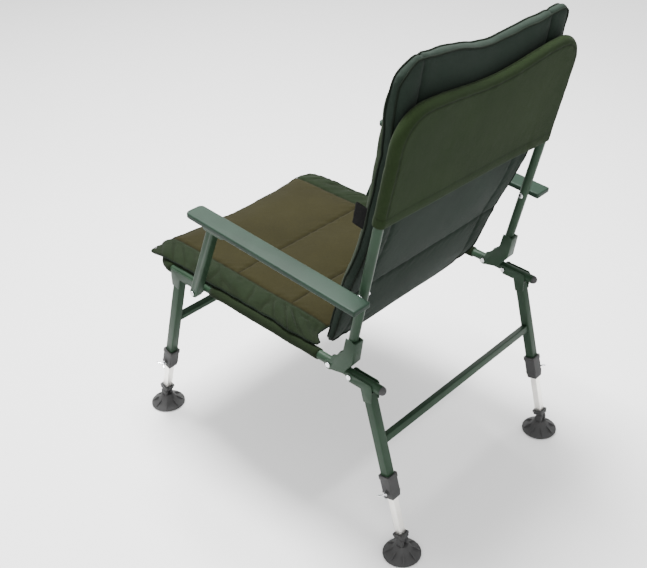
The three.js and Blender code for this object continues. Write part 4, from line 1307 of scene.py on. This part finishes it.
@dataclass
class BackCushion:
    """The padded back: grey behind, olive and green in front, with piping along its edges."""

    layout: Layout
    top: float = 629 * MM
    half: float = 252 * MM
    foot_half: float = 235 * MM
    edge: float = 20 * MM
    side_seam: float = 188 * MM
    low_seam: float = 148 * MM
    near_rise: float = 24 * MM
    corner_power: float = 20
    across_mm: tuple[float, ...] = (-35.6, -22.8, -13.6, -2.6, 13.9, 23.0, 23.4, 21.5, 16.5, 12.5)
    along_mm: tuple[float, ...] = (-5, 36, 100, 175, 250, 315, 390, 478, 560, 629)
    deep_mm: tuple[float, ...] = (20, 27, 37, 42, 44, 44, 44, 44, 43, 38)

    def between(self, along: float, values: Sequence[float]) -> float:
        """A value at a height on the back, joined smoothly between the listed ones.

        Args:
            along: The height up the back.
            values: A value in millimetres for each of along_mm.

        Returns:
            The value there, in metres.
        """
        places = [a * MM for a in self.along_mm]
        i = max(0, min(len(places) - 2, sum(along > p for p in places) - 1))
        share = (along - places[i]) / (places[i + 1] - places[i])
        before, after = values[max(i - 1, 0)], values[min(i + 2, len(values) - 1)]
        first, last = values[i], values[i + 1]
        bend = 2 * before - 5 * first + 4 * last - after
        twist = 3 * (first - last) + after - before
        value = first + 0.5 * share * (last - before + share * (bend + share * twist))
        return value * MM

    def rear(self, along: float) -> float:
        """Where the pad's rear face lies across the back."""
        return self.between(along, self.across_mm)

    def depth(self, along: float) -> float:
        """How thick the pad is at its middle."""
        return self.between(along, self.deep_mm)

    def lift(self, x: float, along: float) -> float:
        """How the slumped top edge rises towards the near corner and dips in the middle.

        Args:
            x: Across the chair.
            along: Up the back.

        Returns:
            The rise.
        """
        share = max(0.0, along / self.top) ** 6
        near = self.near_rise * smooth(x, -20 * MM, 170 * MM) * (1 - smooth(x, 200 * MM, 250 * MM))
        bumps = 5 * MM * noise.noise(Vector((x * 16, 2.0, 0.0)))
        return share * (near - 13 * MM * (1 - (x / self.half) ** 2) + bumps)

    def shape(self, u: float, v: float, w: float) -> Vector:
        """The pad before it is filled.

        Args:
            u: Across the pad, -1 to 1.
            v: Up it, -1 at the foot and 1 at the top.
            w: Through it, -1 behind and 1 in front.

        Returns:
            The place in the frame.
        """
        spread = (abs(u) ** self.corner_power + abs(v) ** self.corner_power) ** (1 / self.corner_power)
        pull = max(abs(u), abs(v)) / spread if spread else 1.0
        share = (v * pull + 1) / 2
        along = share * self.top
        edge = max(abs(u), abs(v)) ** 6
        inset = 5 * MM * edge * w * w
        wide = self.foot_half + (self.half - self.foot_half) * min(1.0, 2 * share)
        x = u * pull * (wide - inset - 4 * MM * (1 - v * v))
        full = math.sqrt(max(0.0, (1 - abs(u) ** 6) * (1 - abs(v) ** 6)))
        deepest = self.depth(along)
        thin = min(self.edge, deepest / 2)
        forward = (w + 1) / 2 * (thin + (deepest - thin) * full) + 1.5 * MM
        return self.layout.on_back(x, self.rear(along) - forward, along - v * inset + self.lift(x, along))

    def seam_distance(self, x: float, along: float) -> float:
        """Distance from the nearest seam of the rear face."""
        return min(abs(abs(x) - self.side_seam), abs(along - self.low_seam))

    def behind(self, place: Vector) -> float:
        """How far in front of the rear face a place lies."""
        _, across, along = self.layout.back_place(place)
        return self.rear(max(-5 * MM, min(self.top, along))) - across

    def held(self, place: Vector) -> float:
        """How firmly the filling leaves a place: fast at the seams."""
        x, _, along = self.layout.back_place(place)
        return 0.9 * hill(self.seam_distance(x, along), 6 * MM)

    def wrinkle(self, place: Vector, normal: Vector) -> Vector:
        """Seams, puckers and soft lumps.

        Args:
            place: A place on the filled pad.
            normal: The surface normal there.

        Returns:
            How far the place moves.
        """
        x, _, along = self.layout.back_place(place)
        distance = self.seam_distance(x, along)
        pucker = noise.noise(Vector(((x + along) * 60, distance * 40, 3.0)))
        lift = -2.8 * MM * hill(distance, 4.5 * MM) + 1.2 * MM * pucker * hill(distance, 18 * MM)
        lift += 2.4 * MM * noise.noise(Vector((x * 7, along * 6, 5.0)))
        near_edge = smooth(along, 0.56, self.top) + smooth(abs(x), 0.2, self.half)
        lift += 2.6 * MM * near_edge * noise.noise(Vector((x * 26, along * 22, 9.0)))
        return normal * lift

    def flatten(self, piece: bpy.types.Object) -> None:
        """Give a piece its own copy of its mesh.

        Args:
            piece: The pad or a piping.
        """
        origin = self.layout.on_back(0, 0, 0)
        across = self.layout.on_back(0, 1, 0) - origin
        anchor = self.layout.on_back(0, 22 * MM, 0)
        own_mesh(piece)

    def pipe(self, name: str, cushion: bpy.types.Object, depth: float) -> None:
        """Sew a piping round the pad.

        Args:
            name: The piping's name.
            cushion: The filled pad.
            depth: -1 along the rear edge and 1 along the front edge.
        """
        tree = BVHTree.FromObject(cushion, bpy.context.evaluated_depsgraph_get())
        path = []
        for u, v in rim():
            near, normal, _, _ = tree.find_nearest(self.shape(u, v, depth))
            path.append(near + normal * 0.9 * MM)
        piping = swept(name, path, 2.1 * MM, 2, ring=True)
        set_mark(piping, "seam", lambda place: 0.0)
        give(piping, Finishes.PIPING, "back_frame")
        self.flatten(piping)

    def build(self) -> bpy.types.Object:
        """Make the pad and its two pipings.

        Returns:
            The pad.
        """
        piece = pillow("back_cushion", self.shape, (56, 66, 5))
        Stuffing(voxel=6 * MM, cap=7 * MM).fill(piece, self.held)
        move_points(piece, self.wrinkle)

        def panel(place: Vector) -> float:
            """Above a half on the front face.

            Args:
                place: A place in the frame.

            Returns:
                The mark there.
            """
            return min(1.0, max(0.0, 0.5 + (self.behind(place) - 19 * MM) / (20 * MM)))

        def seam(place: Vector) -> float:
            """Near 1 in the seams.

            Args:
                place: A place in the frame.

            Returns:
                The mark there.
            """
            x, _, along = self.layout.back_place(place)
            return hill(self.seam_distance(x, along), 1.8 * MM)

        set_mark(piece, "panel", panel)
        set_mark(piece, "seam", seam)
        give(piece, Finishes.BACK, "back_frame", "back_pad")
        self.flatten(piece)
        self.pipe("back_piping_rear", piece, -0.9)
        self.pipe("back_piping_front", piece, 0.9)
        return piece


@dataclass
class Hood:
    """The cloth pocket over the top of the back tube."""

    layout: Layout
    hem: float = 352 * MM
    hem_tilt: float = 9 * MM
    top: float = 571 * MM
    corner: float = 55 * MM
    dip: float = 14 * MM
    loose: float = 1.9 * MM
    cloth: float = 1.2 * MM
    columns: int = 110
    rows: int = 64
    turn_rows: int = 30

    @property
    def round(self) -> float:
        """Half of the pocket's thickness."""
        return self.layout.tube + self.loose

    def outline(self) -> list[tuple[float, float]]:
        """The pocket's rows, from the hem to the top.

        Returns:
            The half-width and height of each row.
        """
        wide = self.layout.rail_x + self.round
        corner = self.corner + self.round
        peak = self.top + self.round
        rows = []
        for i in range(self.rows + 1):
            share = i / self.rows
            rows.append((wide, self.hem + share * (peak - corner - self.hem)))
        for i in range(1, self.turn_rows + 1):
            turn = i / self.turn_rows * math.pi / 2
            rows.append((wide - corner + corner * math.cos(turn), peak - corner + corner * math.sin(turn)))
        return rows

    def inside(self, x: float, along: float) -> float:
        """How far a place lies inside the pocket's outline.

        Args:
            x: Across the chair.
            along: Up the back.

        Returns:
            The distance, or 0 outside it.
        """
        wide = self.layout.rail_x + self.round
        corner = self.corner + self.round
        peak = self.top + self.round
        over_x, over_a = abs(x) - (wide - corner), along - (peak - corner)
        if over_x > 0 and over_a > 0:
            return max(0.0, corner - math.hypot(over_x, over_a))
        return max(0.0, min(wide - abs(x), peak - along))

    def place(self, x: float, along: float, face: int) -> Vector:
        """A point of the pocket.

        Args:
            x: Across the chair.
            along: Up the back, before the top's dip.
            face: 1 behind and -1 in front.

        Returns:
            Its place in the frame.
        """
        depth = min(self.inside(x, along), self.round)
        half = math.sqrt(max(0.0, self.round**2 - (self.round - depth) ** 2))
        run = self.layout.rail_x - self.corner
        rise = smooth(along, self.hem, self.top)
        fall = self.dip / 2 * (1 + math.cos(math.pi * min(1.0, abs(x) / run))) * rise
        slant = self.hem_tilt * x / self.layout.rail_x * (1 - smooth(along, self.hem, self.hem + 90 * MM))
        slack = 1 - min(1.0, abs(x) / self.layout.rail_x) ** 2
        sag = -face * 2.5 * MM * slack * (1 - rise * 0.6)
        ripple = noise.noise(Vector((x * 9, along * 7, face * 2.0))) * 1.6 * MM * min(1.0, depth / self.round)
        above = along - self.hem
        hemmed = 1.0 * MM * hill(above - 10 * MM, 9 * MM)
        depth_in = self.inside(x, along)
        seam = -1.1 * MM * hill(depth_in - 12 * MM, 1.8 * MM) * smooth(above, 20 * MM, 30 * MM)
        pucker = noise.noise(Vector((x * 60 + along * 60, depth_in * 30, face * 3.0)))
        seam += 0.8 * MM * pucker * hill(depth_in - 10 * MM, 12 * MM)
        gather = noise.noise(Vector((x * 55, above * 20, face * 5.0)))
        seam += 0.5 * MM * gather * hill(above - 20 * MM, 10 * MM)
        across = self.layout.back_set + face * (half + ripple + hemmed + seam) + sag
        return self.layout.on_back(x, across, along - fall + slant)

    def build(self) -> bpy.types.Object:
        """Make the pocket, its wall and its marks.

        Returns:
            The pocket.
        """
        rows = self.outline()
        points: list[Vector] = []
        facts: list[tuple[float, float]] = []
        numbers: dict[tuple[int, int, int], int] = {}
        for i, (wide, along) in enumerate(rows):
            for j in range(self.columns + 1):
                x = wide * math.sin(math.pi / 2 * (2 * j / self.columns - 1))
                for face in (1, -1):
                    shared = j in (0, self.columns) or i == len(rows) - 1
                    if shared and face < 0:
                        numbers[(i, j, face)] = numbers[(i, j, 1)]
                        continue
                    numbers[(i, j, face)] = len(points)
                    points.append(self.place(x, along, face))
                    facts.append((self.inside(x, along), along - self.hem))
        faces = []
        for i in range(len(rows) - 1):
            for j in range(self.columns):
                for face in (1, -1):
                    ring = [(i, j), (i, j + 1), (i + 1, j + 1), (i + 1, j)]
                    corners = list(dict.fromkeys(numbers[(*spot, face)] for spot in ring))
                    faces.append(corners if face > 0 else corners[::-1])
        piece = mesh_piece("hood_cloth", points, faces)
        self.mark_seams(piece, facts)
        wall = piece.modifiers.new("wall", "SOLIDIFY")
        wall.thickness = self.cloth
        wall.offset = -1
        bake_modifiers(piece)
        bpy.ops.object.shade_smooth()
        give(piece, Finishes.HOOD, "back_frame", "hood")
        wide = 4 * (self.layout.rail_x + self.round)
        tall = self.top + self.round - self.hem
        rounding = (4 - math.pi) * (self.corner + self.round) ** 2
        dipped = 2 * (self.layout.rail_x - self.corner) * self.dip
        wide * tall - rounding - dipped
        self.sew()
        return piece

    def sew(self) -> None:
        """Lay the stitches of the hem and of the seam inside the edge on the rear face."""
        wide = self.layout.rail_x
        sweep = [wide * (i / 60 - 1) for i in range(121)]
        lift = self.layout.on_back(0, 0.25 * MM, 0) - self.layout.on_back(0, 0, 0)
        for number, above in enumerate((4 * MM, 20 * MM)):
            path = [self.place(x, self.hem + above, 1) + lift for x in sweep]
            give(stitches(f"hem_stitches_{number}", path), Finishes.THREAD, "back_frame")
        inset = 14.5 * MM
        reach, corner, peak = wide + self.round, self.corner + self.round, self.top + self.round
        steps = [i / 20 * math.pi / 2 for i in range(21)]
        foot = self.hem + 30 * MM
        rise = [(reach - inset, foot + i / 20 * (peak - corner - self.hem - 30 * MM)) for i in range(20)]
        bend = [(reach - corner + (corner - inset) * math.cos(a),
                 peak - corner + (corner - inset) * math.sin(a)) for a in steps]
        half = rise + bend
        across = [((reach - corner) * (1 - i / 30), peak - inset) for i in range(1, 61)]
        outline = half + across[:59] + [(-x, along) for x, along in reversed(half)]
        path = [self.place(x, along, 1) + lift for x, along in outline]
        give(stitches("hood_edge_stitches", path), Finishes.THREAD, "back_frame")

    def mark_seams(self, piece: bpy.types.Object, facts: Sequence[tuple[float, float]]) -> None:
        """Mark the sewn line inside the edge and one line of the hem.

        Args:
            piece: The pocket before it gets its wall.
            facts: Each point's distance from the edge and from the hem.
        """
        mark = piece.data.attributes.new("seam", "FLOAT", "POINT")
        lines = []
        for inside, above in facts:
            edge = hill(inside - 12 * MM, 1.6 * MM) * smooth(above, 20 * MM, 30 * MM)
            hem = 0.6 * hill(above - 20 * MM, 1.6 * MM)
            lines.append(max(edge, hem))
        mark.data.foreach_set("value", lines)


@dataclass
class Sling:
    """The cloth under the pad and its sleeves round the rails."""

    layout: Layout
    cloth: float = 2.0 * MM
    height: float = 11.5 * MM
    rear: float = 116 * MM
    front: float = 337 * MM
    corner: float = 55 * MM
    sleeve_rear: float = 152 * MM
    gap_front: float = 283 * MM
    gap_rear: float = 155 * MM
    sleeve: float = 11.6 * MM

    def sheet(self) -> bpy.types.Object:
        """The level sheet, with a slight sag between the rails.

        Returns:
            The sheet.
        """
        columns, rows = 36, 34
        points, faces = [], []
        for i in range(rows + 1):
            station = -self.front + (self.rear + self.front) * i / rows
            for j in range(columns + 1):
                u = 2 * j / columns - 1
                turn = max(0.0, self.corner - (self.front + station))
                cut = self.corner - math.sqrt(max(0.0, self.corner**2 - turn**2))
                x = u * (self.layout.rail_x - cut)
                sag = 5 * MM * (1 - u * u) * (1 - (2 * i / rows - 1) ** 2)
                points.append(self.layout.on_rail(x, station, self.height - sag))
        for i in range(rows):
            for j in range(columns):
                a = i * (columns + 1) + j
                faces.append([a, a + 1, a + columns + 2, a + columns + 1])
        piece = mesh_piece("seat_sling_cloth", points, faces)
        wall = piece.modifiers.new("wall", "SOLIDIFY")
        wall.thickness = self.cloth
        wall.offset = 0
        bake_modifiers(piece)
        bpy.ops.object.shade_smooth_by_angle(angle=math.radians(50))
        return piece

    def tunnel(self, name: str, path: Sequence[Vector]) -> bpy.types.Object:
        """A sleeve round a stretch of the rails, ruffled and open at its ends.

        Args:
            name: The sleeve's name.
            path: Its centre line.

        Returns:
            The sleeve.
        """
        sides = 20
        points, faces = [], []
        length = 0.0
        for i, place in enumerate(path):
            before, after = path[max(i - 1, 0)], path[min(i + 1, len(path) - 1)]
            length += (place - path[max(i - 1, 0)]).length
            forward = (after - before).normalized()
            right = forward.cross(Vector((0, 0, 1))).normalized()
            up = right.cross(forward)
            for k in range(sides):
                turn = 2 * math.pi * k / sides
                around = (math.cos(turn) * 1.2, math.sin(turn) * 1.2 + place.x)
                rough = noise.noise(Vector((length * 30, *around)))
                radius = self.sleeve + 1.0 * MM * rough
                points.append(place + (right * math.cos(turn) + up * math.sin(turn)) * radius)
        for i in range(len(path) - 1):
            for k in range(sides):
                a, b = i * sides + k, i * sides + (k + 1) % sides
                faces.append([a, a + sides, b + sides, b])
        piece = mesh_piece(name, points, faces)
        wall = piece.modifiers.new("wall", "SOLIDIFY")
        wall.thickness = 1.2 * MM
        wall.offset = -1
        bake_modifiers(piece)
        bpy.ops.object.shade_smooth()
        return piece

    def build(self) -> None:
        """Make the sheet and the three sleeves as one cloth."""
        at = self.layout
        parts = [self.sheet()]
        steps = 36
        for side in Side:
            x = side.value * at.rail_x
            run = [at.on_rail(x, -self.gap_rear + (self.sleeve_rear + self.gap_rear) * i / steps, 0)
                   for i in range(steps + 1)]
            parts.append(self.tunnel(f"rail_sleeve_{side.word}", run))
        tubes = BentTubes(at)
        half = tubes.half(self.front, self.corner, self.gap_front - 1 * MM, 0)
        bend = tubes.path(half, lambda x, f: at.on_rail(x, -f, 0))
        parts.append(self.tunnel("front_sleeve", bend))
        bpy.ops.object.select_all(action="DESELECT")
        for part in parts:
            part.select_set(True)
        bpy.context.view_layer.objects.active = parts[0]
        bpy.ops.object.join()
        piece = bpy.context.object
        set_mark(piece, "seam", lambda place: 0.0)
        give(piece, Finishes.SLING, "seat_frame", "seat_sling")
        turn = 2 * math.pi * self.sleeve
        wide, long = 2 * at.rail_x, self.rear + self.front
        sleeves = 2 * (self.sleeve_rear + self.gap_rear)
        sleeves += sum((after - before).length for before, after in zip(bend, bend[1:]))
        corners = (2 - math.pi / 2) * self.corner**2
        wide + 2 * turn
        long + turn
        wide * long - corners + sleeves * turn


@dataclass
class Tag:
    """The small tag on the back pad's edge: a folded loop of tape, left bare."""

    layout: Layout
    wide: float = 25 * MM
    tall: float = 44 * MM
    thick: float = 0.55 * MM

    def build(self) -> None:
        """Make the loop of tape where the CAD tag is."""
        low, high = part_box("label_tag")
        layout, wide, tall = self.layout, self.wide, self.tall
        x = (low.x + high.x) / 2
        centre = layout.back_place((low + high) / 2)
        front, bottom = centre[1] - wide / 2, centre[2] - tall / 2
        columns, rows = 16, 24
        points, faces = [], []
        for i in range(rows + 1):
            for j in range(2 * columns):
                loop = j / columns
                share = loop if loop <= 1 else 2 - loop
                face = 1 if loop <= 1 else -1
                belly = 0.9 * MM * math.sin(math.pi * min(1.0, share * 1.02)) ** 0.5
                curl = 1.5 * MM * noise.noise(Vector((share * 2, i / rows * 3, 6.0)))
                along = bottom + tall * i / rows
                points.append(layout.on_back(x + face * (belly + self.thick) + curl * (1 - share),
                                             front + wide * share, along))
        for i in range(rows):
            for j in range(2 * columns):
                a, b = i * 2 * columns + j, i * 2 * columns + (j + 1) % (2 * columns)
                faces.append([a, b, b + 2 * columns, a + 2 * columns])
        piece = mesh_piece("bare_tag", points, faces)
        wall = piece.modifiers.new("wall", "SOLIDIFY")
        wall.thickness = self.thick
        wall.offset = 0
        bake_modifiers(piece)
        bpy.ops.object.shade_smooth_by_angle(angle=math.radians(50))
        set_mark(piece, "seam", lambda place: 0.0)
        give(piece, Finishes.TAG, "back_frame", "label_tag")


@dataclass
class Armrest:
    """A flat moulded armrest with round front corners and soft edges."""

    layout: Layout
    slope: float = math.radians(5.1)
    width: float = 44 * MM
    thickness: float = 12 * MM
    front: float = 416 * MM
    rear: float = 28 * MM
    lift: float = 6.2 * MM
    corner: float = 11 * MM
    pivot_along: float = 201.5 * MM

    def build(self, side: Side) -> None:
        """Make one armrest.

        Args:
            side: Its side of the chair.
        """
        low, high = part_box(f"armrest_{side.word}")
        x = (low.x + high.x) / 2
        pivot = self.layout.on_back(0, self.layout.back_set, self.pivot_along)
        length = self.front + self.rear
        bpy.ops.object.select_all(action="DESELECT")
        bpy.ops.mesh.primitive_cube_add(size=1, location=(0, 0, 0))
        piece = bpy.context.object
        piece.name = f"armrest_plank_{side.word}"
        piece.scale = (self.width, length, self.thickness)
        bpy.ops.object.transform_apply(location=False, rotation=False, scale=True)
        self.round_corners(piece)
        bevel(piece, 3.2 * MM, 5, 50)
        piece.location = pivot + self.tilted(Vector((0, (self.rear - self.front) / 2,
                                                     self.lift - self.thickness / 2)))
        piece.location.x = x
        piece.rotation_euler = (-self.slope, 0, 0)
        settle(piece)
        give(piece, Finishes.ARMREST, f"armrest_{side.word}", f"armrest_{side.word}")

    def tilted(self, offset: Vector) -> Vector:
        """An offset on the sloping armrest, in the frame."""
        c, s = math.cos(self.slope), math.sin(self.slope)
        return Vector((offset.x, offset.y * c + offset.z * s, offset.z * c - offset.y * s))

    def round_corners(self, piece: bpy.types.Object) -> None:
        """Round the four upright edges of the plank, the front ones more.

        Args:
            piece: The plank as a plain box at the origin.
        """
        weights = piece.data.attributes.new("bevel_weight_edge", "FLOAT", "EDGE")
        for edge in piece.data.edges:
            a, b = (piece.data.vertices[i].co for i in edge.vertices)
            if abs(a.z - b.z) > self.thickness / 2:
                weights.data[edge.index].value = 1.0 if a.y < 0 else 0.3
        modifier = piece.modifiers.new("corners", "BEVEL")
        modifier.limit_method = "WEIGHT"
        modifier.width = self.corner
        modifier.segments = 6
        bake_modifiers(piece)


@dataclass
class Studio:
    """Camera, lights and floor."""

    azimuth: float = 131.027
    elevation: float = 33.268
    eye: tuple[float, float, float] = (1.3747, 1.2491, 1.5720)
    focal_pixels: float = 1003.79
    centre_pixels: tuple[float, float] = (367.14, 291.96)
    frame_pixels: tuple[int, int] = (647, 568)
    sky: float = 1.7
    floor_white: float = 0.72

    def camera(self) -> None:
        """Stand the camera where the photograph was taken."""
        wide, tall = self.frame_pixels
        data = bpy.data.cameras.new("camera")
        data.sensor_width = 36.0
        data.lens = data.sensor_width * self.focal_pixels / wide
        data.shift_x = (wide / 2 - self.centre_pixels[0]) / wide
        data.shift_y = (self.centre_pixels[1] - tall / 2) / wide
        camera = bpy.data.objects.new("camera", data)
        camera.location = self.eye
        camera.rotation_euler = (math.radians(90 - self.elevation), 0, math.radians(self.azimuth))
        bpy.context.scene.collection.objects.link(camera)
        bpy.context.scene.camera = camera

    def light(self, name: str, place: Vector, power: float, size: float) -> None:
        """A soft square light that looks at the chair.

        Args:
            name: Its name.
            place: Where it hangs.
            power: Its power in watts.
            size: Its side.
        """
        data = bpy.data.lights.new(name, "AREA")
        data.energy = power
        data.size = size
        lamp = bpy.data.objects.new(name, data)
        lamp.location = place
        lamp.rotation_euler = (Vector((0, 0, 0.45)) - place).to_track_quat("-Z", "Y").to_euler()
        bpy.context.scene.collection.objects.link(lamp)

    def build(self) -> None:
        """Make the studio."""
        self.camera()
        self.light("key", Vector((-0.1, -0.45, 3.0)), 330, 1.1)
        self.light("fill", Vector((2.6, 2.4, 1.6)), 52, 1.6)
        self.light("front", Vector((-1.5, -2.6, 2.0)), 30, 2.2)
        world = bpy.data.worlds.new("white")
        world.use_nodes = True
        world.node_tree.nodes["Background"].inputs["Color"].default_value = (1, 1, 1, 1)
        world.node_tree.nodes["Background"].inputs["Strength"].default_value = self.sky
        bpy.context.scene.world = world
        bpy.ops.object.select_all(action="DESELECT")
        bpy.ops.mesh.primitive_plane_add(size=30, location=(0, 0, -0.2 * MM))
        floor = bpy.context.object
        floor.name = "floor"
        shader = Shader("floor_white")
        white = (self.floor_white, self.floor_white, self.floor_white, 1.0)
        shader.set(Base_Color=white, Roughness=0.95, Specular_IOR_Level=0.0)
        floor.data.materials.append(shader.material)


def main() -> None:
    """Build the chair's looks and report each piece."""
    logging.basicConfig(level=logging.INFO, format="%(message)s")
    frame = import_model()
    layout = Layout()
    Studio().build()
    BentTubes(layout).build()
    Ironwork(frame["record"]["behaviour"]["bodies"]).build(frame["nodes"])
    Fastener().build_all()
    for side in Side:
        Armrest(layout).build(side)
    Sling(layout).build()
    SeatCushion(layout).build()
    BackCushion(layout).build()
    Hood(layout).build()
    Tag(layout).build()


if __name__ == "__main__":
    main()
